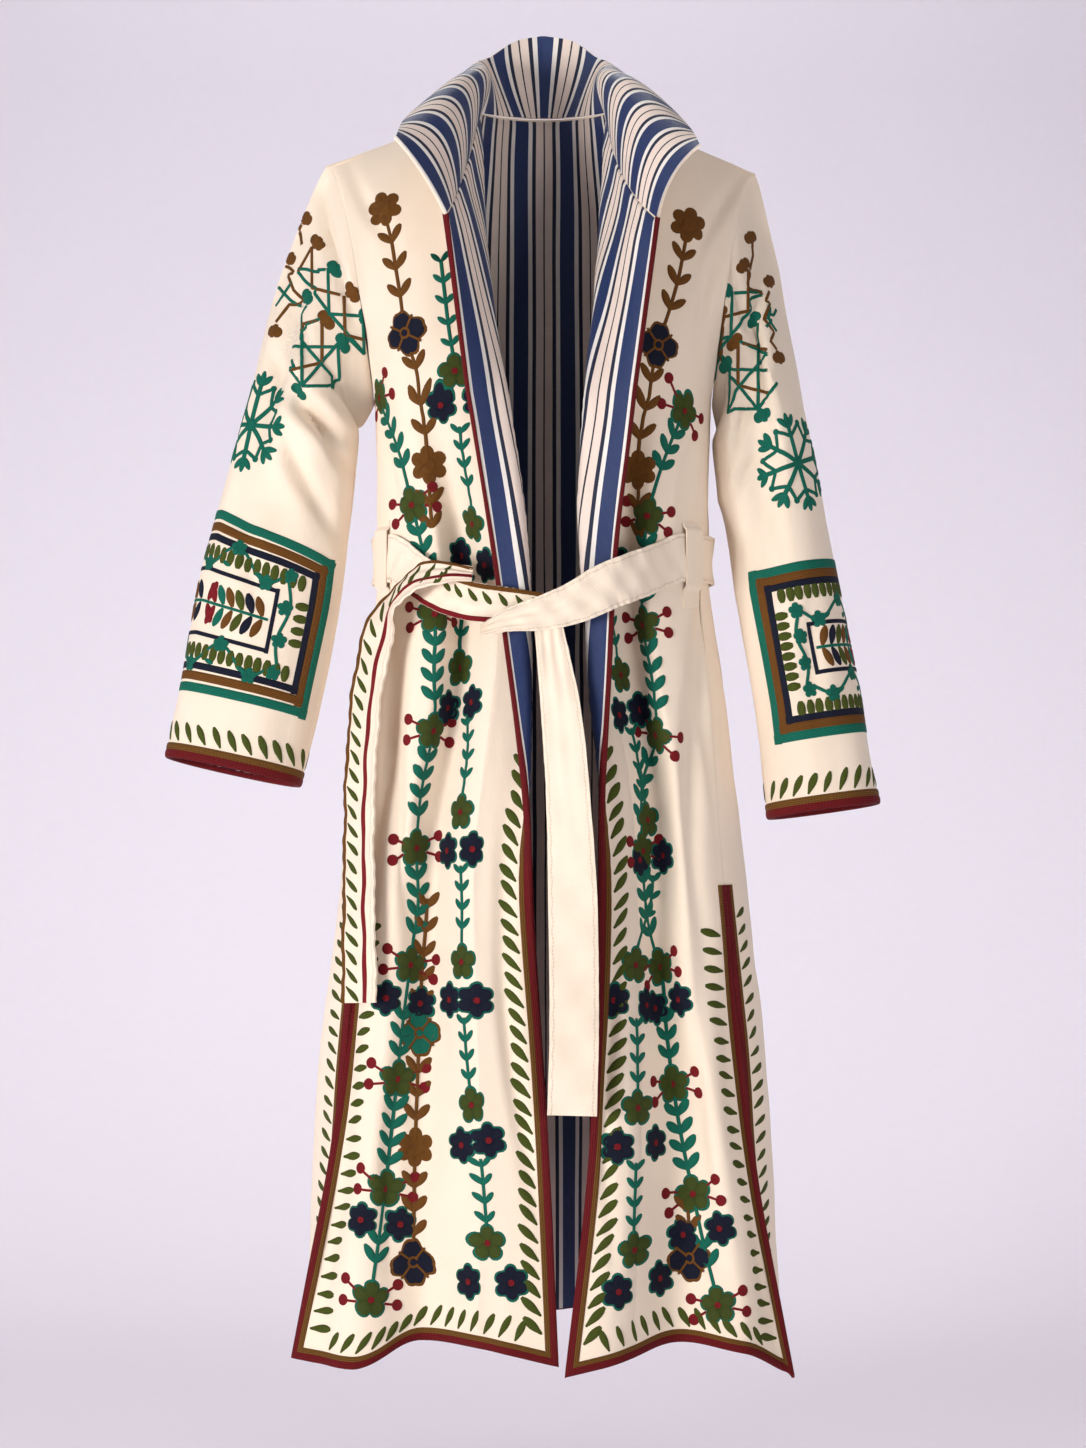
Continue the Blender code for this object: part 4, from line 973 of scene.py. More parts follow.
def braid_finish(name, brown_width):
    """Edge braid: rows of brown chain stitch beside rows of red that turn over the edge, each thread with painted
    shade, darker in the hollows between its loops and lighter on their crowns.
    """
    made, tree, shader, flat = finish(name, 0.7, sheen=0.0, specular=0.2)
    parts = tree.nodes.new("ShaderNodeSeparateXYZ")
    tree.links.new(flat, parts.inputs[0])
    chain = place_group(tree, CHAIN, flat, Row=0.0019, Stitch=0.0030)
    is_red = math_node(tree, "GREATER_THAN", parts.outputs[0], brown_width)
    # The chain's Tone is painted shade: each colour is dark in the stitch hollows and light on the crowns.
    tone = chain.outputs["Tone"]
    brown = blend_colours(tree, tone, (0.035, 0.014, 0.002), (0.200, 0.085, 0.012))
    red = blend_colours(tree, tone, (0.030, 0.001, 0.001), (0.190, 0.005, 0.008))
    tree.links.new(blend_colours(tree, is_red, brown, red), shader.inputs["Base Color"])
    relief(tree, shader, chain.outputs["Height"], 0.0007)
    return made


def belt_stitches(tree, flat):
    """A row of stitching inside each long edge of the belt, whose flat width is 0 to 1 in the second coordinate."""
    parts = tree.nodes.new("ShaderNodeSeparateXYZ")
    tree.links.new(flat, parts.inputs[0])
    middle = math_node(tree, "ABSOLUTE", math_node(tree, "SUBTRACT", parts.outputs[1], 0.5 * BELT_WIDTH))
    wave = math_node(tree, "MULTIPLY", math_node(tree, "SINE", math_node(tree, "MULTIPLY", parts.outputs[0], 330.0)), 0.0005)
    near = math_node(tree, "ABSOLUTE", math_node(tree, "SUBTRACT", math_node(tree, "ADD", middle, wave), 0.0192))
    dash = math_node(tree, "FRACT", math_node(tree, "DIVIDE", parts.outputs[0], 0.0038))
    gap = math_node(tree, "LESS_THAN", dash, 0.78)
    return math_node(tree, "MULTIPLY", math_node(tree, "LESS_THAN", near, 0.0006), gap)


THREAD_COLOURS = {
    "teal": (0.002, 0.135, 0.086),
    "brown": (0.150, 0.054, 0.005),
    "navy": (0.004, 0.006, 0.020),
    "olive": (0.062, 0.080, 0.006),
    "moss": (0.050, 0.070, 0.008),
    "red": (0.200, 0.005, 0.009),
}
CREAM = cream_finish("cream brushed cotton")
CREAM_BELT = cream_finish("cream belt cloth", stitches=belt_stitches)
STRIPES = stripe_finish("striped lining")
EDGE_BRAID = braid_finish("red and brown braid", 0.0056)
CUFF_BRAID = braid_finish("cuff braid", 0.0070)
THREADS = {name: thread_finish(name + " thread", colour) for name, colour in THREAD_COLOURS.items()}


def from_primitive(add, **sizes):
    """A primitive's points and faces, after which the primitive goes."""
    bpy.ops.object.select_all(action="DESELECT")
    add(**sizes)
    piece = bpy.context.object
    points = np.array([v.co for v in piece.data.vertices])
    faces = [tuple(p.vertices) for p in piece.data.polygons]
    data = piece.data
    bpy.data.objects.remove(piece)
    bpy.data.meshes.remove(data)
    return points, faces


Stitched = namedtuple("Stitched", "points lift flat faces")


def make_leaf(widths):
    """A leaf along +X, one unit long and two half widths wide, crowned along its middle."""
    points, faces = from_primitive(bpy.ops.mesh.primitive_grid_add, x_subdivisions=6, y_subdivisions=4, size=2.0)
    x, y = (points[:, 0] + 1) / 2, np.interp(points[:, 1], (-1, -0.5, 0, 0.5, 1), (-1, -0.86, 0, 0.86, 1))
    half = np.interp(x, np.linspace(0, 1, 7), widths)
    lift = np.where(np.abs(y) > 0.9, -0.35, 1.1 - 0.3 * np.abs(y)) * np.where((x < 0.01) | (x > 0.99), 0.2, 1.0)
    return Stitched(np.stack([x, y * half], 1), lift, np.stack([y * half, x], 1), faces)


def make_disc(sides):
    """A crowned disc of rings round its middle: the upper half of a globe, pressed nearly flat."""
    points, faces = from_primitive(
        bpy.ops.mesh.primitive_uv_sphere_add, segments=sides, ring_count=8, radius=1.0
    )
    keep = {k: n for n, k in enumerate(k for k in range(len(points)) if points[k, 2] > -0.01)}
    faces = [tuple(keep[k] for k in face) for face in faces if all(k in keep for k in face)]
    points = points[list(keep)]
    far = np.hypot(points[:, 0], points[:, 1])
    lift = np.where(far > 0.99, -0.35, 1.0 - 0.35 * far**2)
    turn = np.arctan2(points[:, 1], points[:, 0])
    return Stitched(points[:, :2], lift, np.stack([far, turn], 1), faces)


LEAF = make_leaf([0.30, 0.62, 0.88, 1.0, 0.96, 0.74, 0.30])
SLIM_LEAF = make_leaf([0.25, 0.50, 0.80, 1.0, 1.0, 0.80, 0.35])
LOBE = make_leaf([0.45, 0.80, 1.0, 1.05, 1.0, 0.80, 0.40])
DISC = make_disc(12)
BLOOM = make_disc(40)


class Needle:
    """Gathers the stitching of one sheet by thread, then makes one piece of each thread."""

    def __init__(self, name, cloth, upwards=None):
        self.name, self.cloth, self.upwards = name, cloth, upwards
        self.work = {}

    def sew(self, thread, spots, lift, flat, faces):
        work = self.work.setdefault(thread, {"spots": [], "lift": [], "flat": [], "faces": [], "count": 0})
        first = work["count"]
        work["spots"].append(spots)
        work["lift"].append(lift)
        work["flat"].append(flat)
        work["faces"] += [tuple(first + k for k in face) for face in faces]
        work["count"] += len(spots)

    def patch(self, thread, shape, spot, angle, size, level=0, outline=None):
        """A shape turned by an angle in degrees about its start, at a spot; size is its length and half width."""
        right, up = self.cloth.right_and_up(spot, self.upwards)
        local = shape.points.copy()
        if outline is not None:
            turn = shape.flat[:, 1]
            local = local * outline(turn)[:, None]
        local = local * size
        c, s = math.cos(math.radians(angle)), math.sin(math.radians(angle))
        x, y = local[:, 0] * c - local[:, 1] * s, local[:, 0] * s + local[:, 1] * c
        moved = x[:, None] * right + y[:, None] * up
        spots = spot + self.cloth.shift(np.repeat(np.atleast_2d(spot), len(x), 0), moved)
        lift = 0.0003 * level + 0.00075 * shape.lift
        if shape is DISC or shape is BLOOM:
            flat = shape.flat * (max(size), max(size) * 0.8)
        else:
            flat = shape.flat * (size[1], size[0])
        self.sew(thread, spots, lift, flat, shape.faces)

    def line(self, thread, spots, width, level=0, closed=False):
        """A stitched line through spots."""
        spots = np.asarray(spots, float)
        here = self.cloth.sample(self.cloth.points, spots)
        run = lengths(here)
        count = max(2, int(run[-1] / 0.0035))
        shares = np.linspace(0, run[-1], count + 1)
        spots = np.stack([np.interp(shares, run, spots[:, k]) for k in (0, 1)], 1)
        here = self.cloth.sample(self.cloth.points, spots)
        ahead = np.gradient(here, axis=0)
        if closed:
            ahead[0] = ahead[-1] = here[1] - here[-2]
        out = directions(self.cloth.sample(self.cloth.normal, spots))
        side = directions(np.cross(ahead, out))
        places, lift, flat = [], [], []
        lanes = (-1.0, -0.84, 0.0, 0.84, 1.0) if width < 0.0045 else (-1.0, -0.9, -0.4, 0.4, 0.9, 1.0)
        for lane in lanes:
            places.append(spots + self.cloth.shift(spots, side * 0.5 * width * lane))
            edge = -0.00025 if abs(lane) > 0.99 else 0.00085 - 0.0002 * abs(lane)
            lift.append(np.full(len(spots), 0.0003 * level + edge))
            flat.append(np.stack([np.full(len(spots), 0.5 * width * lane), shares], 1))
        n = len(spots)
        faces = [
            (a * n + k, a * n + k + 1, (a + 1) * n + k + 1, (a + 1) * n + k)
            for a in range(len(lanes) - 1)
            for k in range(n - 1)
        ]
        self.sew(thread, np.concatenate(places), np.concatenate(lift), np.concatenate(flat), faces)

    def local(self, spot, points):
        """Spots for points given to the right and up of a spot."""
        right, up = self.cloth.right_and_up(spot, self.upwards)
        points = np.asarray(points, float)
        moved = points[:, :1] * right + points[:, 1:] * up
        return spot + self.cloth.shift(np.repeat(np.atleast_2d(spot), len(points), 0), moved)

    def make(self, slot):
        pieces = []
        for thread, work in self.work.items():
            spots, lift = np.concatenate(work["spots"]), np.concatenate(work["lift"])
            flat = np.concatenate(work["flat"])
            out = directions(self.cloth.sample(self.cloth.normal, spots))
            points = self.cloth.sample(self.cloth.points, spots) + lift[:, None] * out
            mesh = bpy.data.meshes.new(f"{self.name}_{thread}")
            mesh.from_pydata(points.tolist(), [], work["faces"])
            layer = mesh.uv_layers.new(name="UVMap")
            corner = np.zeros(len(mesh.loops), int)
            mesh.loops.foreach_get("vertex_index", corner)
            layer.data.foreach_set("uv", flat[corner].ravel())
            facing = np.zeros(len(mesh.polygons) * 3)
            mesh.polygons.foreach_get("normal", facing)
            first = np.array([face[0] for face in work["faces"]])
            wrong = (facing.reshape(-1, 3) * out[first]).sum(1) < 0
            if wrong.any():
                turned = [tuple(reversed(f)) if w else f for f, w in zip(work["faces"], wrong)]
                mesh.clear_geometry()
                mesh.from_pydata(points.tolist(), [], turned)
                layer = mesh.uv_layers.new(name="UVMap")
                mesh.loops.foreach_get("vertex_index", corner)
                layer.data.foreach_set("uv", flat[corner].ravel())
            mesh.shade_smooth()
            piece = bpy.data.objects.new(f"{self.name}_{thread}", mesh)
            bpy.context.scene.collection.objects.link(piece)
            pieces.append(dress(piece, THREADS[thread]))
        return pieces


def scallops(lobes, depth, sharp=0.7, turn=0.0):
    return lambda angle: 1 - depth + depth * np.abs(np.cos(lobes * (angle - turn) / 2)) ** sharp


def quartered(angle):
    """Four broad petals with a small dent at each one's end."""
    near = np.abs((np.degrees(angle) + 45) % 90 - 45)
    return 1 - 0.30 * np.abs(np.sin(2 * angle)) ** 3 - 0.07 * np.exp(-((near / 9) ** 2))


def bloom(needle, spot, radius, fill, rim, centre, lobes=5, turn=90.0):
    needle.patch(rim, BLOOM, spot, turn, (radius, radius), 0, scallops(lobes, 0.30))
    inner = radius - 0.0022
    needle.patch(fill, BLOOM, spot, turn, (inner, inner), 1.3, scallops(lobes, 0.32))
    needle.patch(centre, DISC, spot, 0, (0.0034, 0.0034), 2.4)


def rosette(needle, spot, radius, turn=90.0):
    """Six round lobes about a round middle, all of one thread."""
    for k in range(6):
        a = math.radians(turn + 60 * k)
        lobe = needle.local(spot, [(0.62 * radius * math.cos(a), 0.62 * radius * math.sin(a))])[0]
        needle.patch("brown", DISC, lobe, turn + 60 * k, (0.40 * radius, 0.37 * radius), 0.4 * (k % 2))
    needle.patch("brown", DISC, spot, 0, (0.42 * radius, 0.42 * radius), 1.2)


def four_petals(needle, spot, radius, fill, turn=8.0):
    needle.patch("brown", BLOOM, spot, turn, (radius, radius), 0, quartered)
    inner = radius - 0.0026
    needle.patch(fill, BLOOM, spot, turn, (inner, inner), 1.3, quartered)
    for k in range(4):
        angle = math.radians(turn + 45 + 90 * k)
        ray = [(r * math.cos(angle), r * math.sin(angle)) for r in (0.004, 0.5 * radius, 0.76 * radius)]
        needle.line("brown", needle.local(spot, ray), 0.0024, 2.2)
    needle.patch("brown", DISC, spot, 0, (0.0062, 0.0062), 2.4)
    needle.patch(fill, DISC, spot, 0, (0.0036, 0.0036), 3.6)


def stamen(needle, spot, angle, start, length):
    a = math.radians(angle)
    ends = [(r * math.cos(a), r * math.sin(a)) for r in (start, 0.5 * (start + length), length)]
    needle.line("red", needle.local(spot, ends), 0.0026)
    tip = needle.local(spot, ends[-1:])[0]
    needle.patch("red", DISC, tip, 0, (0.0056, 0.0056), 0.8)


def leaf_pair(needle, thread, spot, length, half, lean=0.0, spread_by=42.0):
    for side in (-1, 1):
        needle.patch(thread, LEAF, spot, 90 + lean + side * spread_by, (length, half), 0.3)


def heart(needle, thread, spot, angle, size):
    """Two round lobes on one point."""
    for side in (-1, 1):
        a = math.radians(angle + side * 37)
        lobe = needle.local(spot, [(0.52 * size * math.cos(a), 0.52 * size * math.sin(a))])[0]
        needle.patch(thread, DISC, lobe, 0, (0.32 * size, 0.32 * size), 0.6 + 0.3 * side)
    needle.patch(thread, LOBE, spot, angle, (0.8 * size, 0.30 * size), 0.2)


FRONT_SHARES = np.concatenate([np.linspace(0, NECK_SHARE, 51), np.linspace(NECK_SHARE, 1, 76)[1:]])
BACK_SHARES = np.concatenate([np.linspace(0, 0.35, 46), np.linspace(0.35, 0.65, 56)[1:], np.linspace(0.65, 1, 46)[1:]])
NECK_COLUMNS = 51
BACK_NECK_COLUMNS = slice(46, 100)
HALF_RING = 72


def make_cloths():
    cloths = {"back": Cloth(back_grid(BACK_SHARES), lambda point, normal: normal[1] > 0)}
    for side, sign in SIGN.items():
        front = front_grid(side, FRONT_SHARES)
        cloths["front_" + side] = Cloth(front, lambda point, normal: normal[1] < 0)
        hole = armhole_loop(front, cloths["back"].points, 0 if side == "left" else -1)
        rings = np.roll(sleeve_grid(side, hole, np.linspace(0, 1, 111)), HALF_RING, axis=1)
        rings = np.concatenate([rings, rings[:, :1]], 1)
        cloths["sleeve_" + side] = Cloth(rings, lambda point, normal, sign=sign: normal[0] * sign > 0)
    left, right = (cloths["front_" + side].points[0, :NECK_COLUMNS] for side in SIGN)
    base = np.concatenate([left, cloths["back"].points[0, BACK_NECK_COLUMNS], right[::-1]])
    cloths["collar"] = Cloth(collar_grid(base, np.linspace(0, 1, 25)), lambda point, normal: normal[1] > 0)
    return cloths


# Creases pressed into the sleeves and fronts: pixel, slant in degrees, length, width and depth in metres.
CREASED = {
    "sleeve_left": [
        (322, 425, 35, 72, 13, 0.0150),
        (340, 455, 55, 60, 12, 0.0140),
        (305, 480, 62, 90, 14, 0.0105),
        (296, 392, 50, 60, 12, 0.0100),
        (330, 240, 78, 90, 9, 0.0097),
        (300, 330, 70, 70, 14, 0.0054),
        (250, 560, 80, 70, 16, 0.0048),
    ],
    "sleeve_right": [
        (757, 350, 86, 120, 9, 0.0109),
        (738, 300, 70, 70, 10, 0.0065),
        (742, 420, 110, 50, 9, 0.0077),
        (748, 470, 130, 40, 9, 0.0065),
        (772, 500, 84, 60, 12, 0.0048),
        (812, 660, 88, 90, 14, 0.0048),
    ],
    "front_left": [
        (372, 215, 60, 60, 12, 0.0037),
        (352, 300, 75, 60, 9, 0.0053),
        (392, 480, 80, 60, 9, 0.0045),
        (380, 600, 84, 90, 10, 0.0045),
        (395, 780, 88, 190, 14, 0.0085),
        (350, 1000, 96, 190, 16, 0.0067),
        (505, 1000, 86, 230, 14, 0.0070),
        (390, 1150, 94, 160, 14, 0.0060),
        (330, 1250, 100, 110, 16, 0.0053),
    ],
    "front_right": [
        (716, 215, 118, 60, 12, 0.0037),
        (704, 300, 100, 60, 9, 0.0045),
        (686, 480, 100, 60, 9, 0.0045),
        (700, 620, 95, 90, 10, 0.0045),
        (690, 780, 90, 190, 14, 0.0085),
        (735, 1100, 84, 190, 16, 0.0067),
        (606, 1100, 92, 190, 10, 0.0045),
        (700, 1150, 84, 160, 14, 0.0053),
        (765, 1290, 80, 100, 14, 0.0045),
    ],
}
CLOTHS = make_cloths()


def sink_seams(cloth, rows=(), columns=(), depth=0.0010):
    """A narrow groove along sewn edges."""
    for share, near in ((1.0, 0), (0.35, 1)):
        for row in rows:
            k = near if row == 0 else -1 - near
            cloth.points[k] -= share * depth * cloth.normal[k]
        for column in columns:
            k = near if column == 0 else -1 - near
            cloth.points[1:, k] -= share * depth * cloth.normal[1:, k]
    cloth.settle()


for number, (name, cloth) in enumerate(CLOTHS.items()):
    if name != "collar":
        soften(cloth, number + 1)
for name, dents in CREASED.items():
    press(CLOTHS[name], dents)
sink_seams(CLOTHS["back"], [0], [0, 1])
for side in SIGN:
    sink_seams(CLOTHS["front_" + side], [], [1])
    sink_seams(CLOTHS["sleeve_" + side], [0], [])


def lay_sheet(name, cloth, lift, thickness, looks, nodes=(), part=np.s_[:, :], flat=None, every=(1, 1)):
    """A sheet laid at a lift over a cloth's points; every says how many rows and columns make one step."""
    points = cloth.points + lift * cloth.normal
    if looks is STRIPES and len(points) > 100:
        points[0, np.abs(points[0, :, 0]) > 0.067, 2] -= 0.0040
        points[1, np.abs(points[1, :, 0]) > 0.067, 2] -= 0.0015
        tip = step((np.abs(points[..., 0]) - 0.165) / 0.02) * step((points[..., 2] + 0.10) / 0.03)
        points -= tip[..., None] * np.sign(points[..., :1]) * (0.007, 0, 0) + tip[..., None] * (0, 0, 0.005)
    flat = np.stack([cloth.across, -cloth.down], -1) if flat is None else flat
    points, flat, normal = (field[part] for field in (points, flat, cloth.normal))
    kept = np.ix_(*(np.unique(np.r_[0:size:one, size - 1]) for size, one in zip(points.shape, every)))
    closed = np.allclose(points[:, 0], points[:, -1], atol=1e-6)
    piece = spread(name, points[kept], flat[kept], normal[kept], thickness, closed)
    dress(piece, looks, nodes)
    return piece


for name in ("front_left", "front_right", "back", "sleeve_left", "sleeve_right", "collar"):
    lay_sheet("cloth_" + name, CLOTHS[name], 0.0, CLOTH, CREAM, [name],
              every=(1, 2) if "sleeve" in name else (1, 1))
under = -CLOTH - LINING_GAP
for side in SIGN:
    cloth = CLOTHS["front_" + side]
    stripes = np.stack([cloth.across - 0.0123, -cloth.down], -1)
    lay_sheet("stripes_front_" + side, cloth, under, LINING, STRIPES,
              ["lining_front_" + side], flat=stripes, every=(1, 2))
    cloth = CLOTHS["sleeve_" + side]
    lay_sheet("stripes_cuff_" + side, cloth, under, LINING, STRIPES, part=np.s_[-26:, :])
cloth = CLOTHS["back"]
middle = cloth.across.shape[1] // 2
stripes = np.stack([cloth.across - cloth.across[:, middle : middle + 1] - 0.5 * STRIPE_REPEAT, -cloth.down], -1)
lay_sheet("stripes_back", cloth, under, LINING, STRIPES, ["lining_back"], flat=stripes, every=(2, 1))
cloth = CLOTHS["collar"]
run = cloth.across[14] - cloth.across[14, cloth.across.shape[1] // 2]
stripes = np.stack([np.broadcast_to(run, cloth.across.shape), -cloth.down], -1)
lay_sheet("stripes_collar", cloth, under, LINING, STRIPES, ["collar_lining"], flat=stripes)

# The edge braid's profile: how far in from the cloth's edge, and how high over its outside.
BRAID_OUTSIDE = [
    (1.0, 0.0003), (0.92, 0.0012), (0.76, 0.0014), (0.60, 0.0013), (0.50, 0.0010), (0.40, 0.0014), (0.26, 0.0016),
    (0.12, 0.0015), (-0.02, 0.0011), (-0.11, 0.0002), (-0.13, -0.0012), (-0.12, -0.0030),
]
BRAID_INSIDE = [(-0.06, -0.0044), (0.06, -0.0050), (0.18, -0.0050), (0.28, -0.0045)]


def edge_strip(cloth, edge, width, profile, top_row=0, mitred=True, count=160):
    """The points of a braid folded over one edge: start and end are the sides, hem the lower edge."""
    rows, columns = cloth.points.shape[:2]
    height = cloth.down[-1:] - cloth.down
    points, out = np.zeros((count, len(profile), 3)), np.zeros((count, len(profile), 3))
    narrow = 1 - 0.55 * step((cloth.points[:, 0, 2] + 0.42) / 0.10) if top_row == 0 and edge == "start" else np.ones(rows)
    for m, (share, lift) in enumerate(profile):
        lines = []
        for inset in (max(0.0, share * width), max(0.0, share * width) + 0.004):
            if edge == "hem":
                j = np.arange(columns)
                i = np.array([np.interp(-inset, -height[:, k], np.arange(rows)) for k in j])
            else:
                i = np.arange(rows)
                side = cloth.across if edge == "start" else cloth.across[:, -1:] - cloth.across
                order = slice(None) if edge == "start" else slice(None, None, -1)
                j = np.array([np.interp(inset * narrow[k], side[k, order], np.arange(columns)[order]) for k in i])
            lines.append(np.stack([i, j], 1).astype(float))
        line, inner = lines
        inset = max(0.0, share * width)
        steps = np.arange(len(line))
        if edge == "hem":
            field = cloth.sample(cloth.across, line)
            first, last = (np.interp(p, field, steps) for p in (inset, field[-1] - inset)) if mitred else (0, steps[-1])
        else:
            first, last = top_row, np.interp(-inset, -cloth.sample(height, line), steps)
        stops = np.linspace(first, last, count)
        line, inner = (np.stack([np.interp(stops, steps, way[:, k]) for k in (0, 1)], 1) for way in (line, inner))
        here, normal = cloth.sample(cloth.points, line), directions(cloth.sample(cloth.normal, line))
        outwards = directions(here - cloth.sample(cloth.points, inner))
        points[:, m] = here + lift * normal + max(0.0, -share * width) * outwards
        if share < 0 and edge != "hem":
            points[-1, m, 2] += share * width
        out[:, m] = normal if lift > 0 else 0.0
    return points, out


def braid(name, cloth, edges, width, looks, nodes, mitred=True):
    strips, size, long = [], 0.0, 0.0
    for number, (edge, profile, top_row) in enumerate(edges):
        points, out = edge_strip(cloth, edge, width, profile, top_row, mitred)
        wide = np.broadcast_to(lengths(points[len(points) // 2]), points.shape[:2])
        far = np.broadcast_to(lengths(points[:, 3])[:, None], points.shape[:2])
        strips.append(spread(f"{name}_{number}", points, np.stack([wide, far], -1), out, 0.0009, not mitred))
        cut = cut_of(points)
        size, long = size + cut["area"], long + cut["flat"][1]
    bpy.ops.object.select_all(action="DESELECT")
    for strip in strips:
        strip.select_set(True)
    bpy.context.view_layer.objects.active = strips[0]
    if len(strips) > 1:
        bpy.ops.object.join()
    piece = strips[0]
    piece.name = piece.data.name = name
    dress(piece, looks, nodes)
    return piece


SLIT_ROW = len(YOKE_T) + int(np.argmin(np.abs(LOWER_Z - SLIT_TOP_Z)))
for side in SIGN:
    edges = [
        ("start", BRAID_OUTSIDE + BRAID_INSIDE, 0), ("hem", BRAID_OUTSIDE, 0), ("end", BRAID_OUTSIDE, SLIT_ROW)
    ]
    braid("braid_edge_" + side, CLOTHS["front_" + side], edges, BRAID_WIDTH, EDGE_BRAID,
          ["braid_front_" + side, "binding_" + side])
    braid("braid_cuff_" + side, CLOTHS["sleeve_" + side], [("hem", BRAID_OUTSIDE + BRAID_INSIDE, 0)], 0.013, CUFF_BRAID,
          ["cuff_braid_" + side], mitred=False)
edges = [("start", BRAID_OUTSIDE, SLIT_ROW), ("hem", BRAID_OUTSIDE, 0), ("end", BRAID_OUTSIDE, SLIT_ROW)]
braid("braid_edge_back", CLOTHS["back"], edges, BRAID_WIDTH, EDGE_BRAID, ["braid_back"])


def belt_sheet(name, grid, normal, widths=None):
    """A belt stretch: where it is drawn together its spare width stands in small pleats."""
    rows, count = grid.shape[:2]
    place = np.linspace(-0.5, 0.5, rows)[:, None]
    if widths is not None:
        spare = np.clip(1 - widths / BELT_WIDTH, 0, 1)
        pleats = np.cos(place * 2 * np.pi * 3 + 1.5 * np.sin(np.linspace(0, 7, count))) * spare
        grid = grid + (0.0022 * pleats * (1 - (2 * place) ** 6))[..., None] * normal
    crown = 0.0004 * (1 - (2 * place) ** 8)
    ripple = 0.0011 * np.sin(np.linspace(0, 52, count)) * np.sin(place * 6 + np.linspace(0, 12, count))
    ripple = ripple + 0.0007 * np.sin(np.arange(count) * 1.5) * np.abs(2 * place) ** 4
    grid = grid + (crown + ripple)[..., None] * normal
    run = np.broadcast_to(lengths(grid[rows // 2]), (rows, count))
    flat = np.stack([run, np.broadcast_to((place + 0.5) * BELT_WIDTH, (rows, count))], -1)
    piece = spread("cloth_" + name, grid, flat, normal, BELT - 0.0004, False)
    bevel = piece.modifiers.new("Soft edges", "BEVEL")
    bevel.width, bevel.segments, bevel.angle_limit = 0.0009, 2, math.radians(50)
    bpy.ops.object.select_all(action="DESELECT")
    piece.select_set(True)
    bpy.context.view_layer.objects.active = piece
    bpy.ops.object.modifier_apply(modifier=bevel.name)
    dress(piece, CREAM_BELT, [name])
    return Cloth(grid, lambda point, own: own.dot(normal[rows // 2, count // 2]) > 0)


for name, points in STRANDS.items():
    points = ([] if "end" in name else strand_start(name[5:])) + points
    grid, normal = strand_grid(points, 22, 120)
    if "end" not in name and grid[0, :, 2].mean() < grid[-1, :, 2].mean():
        grid, normal = grid[::-1], normal[::-1]
    CLOTHS[name] = belt_sheet(name, grid, normal, np.linalg.norm(grid[0] - grid[-1], axis=1))
grid = belt_back_grid(14, 150)
around = Cloth(grid, lambda point, normal: normal[1] > 0)
CLOTHS["belt_back"] = belt_sheet("belt_back", grid, around.normal)
for side in SIGN:
    cloth = Cloth(loop_grid(side, 48, 7), lambda point, normal: normal[1] < 0)
    lay_sheet("cloth_loop_" + side, cloth, 0.0, LOOP_CLOTH, CREAM, ["belt_loop_" + side])


class Vine:
    """A stitched column down a panel: marks are photograph pixels, or (None, distance from the edge, pixel row)."""

    def __init__(self, needle, marks):
        self.needle, self.cloth = needle, needle.cloth
        spots = []
        for mark in marks:
            if mark[0] is None:
                spots.append(self.cloth.by_edge((self.cloth.across, self.cloth.seen[..., 1]), mark[1:]))
            else:
                spots.append(self.cloth.by_pixel(*mark))
        spots = np.array(spots)
        run = lengths(self.cloth.sample(self.cloth.points, spots))
        fine = np.linspace(0, run[-1], int(run[-1] / 0.002))
        slopes = np.gradient(spots, run, axis=0)
        self.line = np.zeros((len(fine), 2))
        for k in range(2):
            where = np.clip(np.searchsorted(run, fine, side="right") - 1, 0, len(run) - 2)
            span = run[where + 1] - run[where]
            t = (fine - run[where]) / span
            self.line[:, k] = (
                (2 * t**3 - 3 * t**2 + 1) * spots[where, k]
                + (t**3 - 2 * t**2 + t) * span * slopes[where, k]
                + (3 * t**2 - 2 * t**3) * spots[where + 1, k]
                + (t**3 - t**2) * span * slopes[where + 1, k]
            )
        self.run = fine
        self.rows = np.maximum.accumulate(self.cloth.sample(self.cloth.seen, self.line)[:, 1])

    def at(self, y, below=0.0):
        """The spot at a pixel row, or some metres below it; motifs sewn next stand along the column there."""
        place = np.interp(y, self.rows, self.run) + below
        spot = np.array([np.interp(place, self.run, self.line[:, k]) for k in (0, 1)])
        near = [[np.interp(place + d, self.run, self.line[:, k]) for k in (0, 1)] for d in (-0.012, 0.012)]
        ends = self.cloth.sample(self.cloth.points, np.array(near))
        self.needle.upwards = ends[0] - ends[1]
        return spot

    def stem(self, thread, top, bottom, width):
        first, last = (np.interp(y, self.rows, self.run) for y in (top, bottom))
        keep = (self.run >= first) & (self.run <= last)
        if keep.sum() > 2:
            self.needle.line(thread, self.line[keep][::2], width)

    def pairs(self, thread, y, belows, length, half, spread_by=42.0):
        for below in belows:
            leaf_pair(self.needle, thread, self.at(y, below), length, half, 0.0, spread_by)


def cluster_column(vine, blooms, top_leaves=()):
    """Column next to the opening: a green bloom over two dark ones, then three pairs of leaves."""
    needle = vine.needle
    for y in top_leaves:
        vine.pairs("teal", y, [0.0], 0.0135, 0.0028)
    if top_leaves:
        vine.stem("teal", top_leaves[0] - 6, blooms[0], 0.0038)
    for k, y in enumerate(blooms):
        spot = vine.at(y)
        for side in (-1, 1):
            bloom(needle, needle.local(spot, [(side * 0.0188, -0.036)])[0], 0.0186, "navy", "teal", "red", 6)
        bloom(needle, spot, 0.0190, "moss", "teal", "red")
        if k + 1 < len(blooms):
            vine.pairs("teal", y, [0.058], 0.0140, 0.0030, 48)
            vine.pairs("teal", y, [0.075, 0.0925, 0.110], 0.0140, 0.0030)
            after = np.interp(np.interp(y, vine.rows, vine.run) + 0.050, vine.run, vine.rows)
            vine.stem("teal", after, blooms[k + 1] - 12, 0.0038)


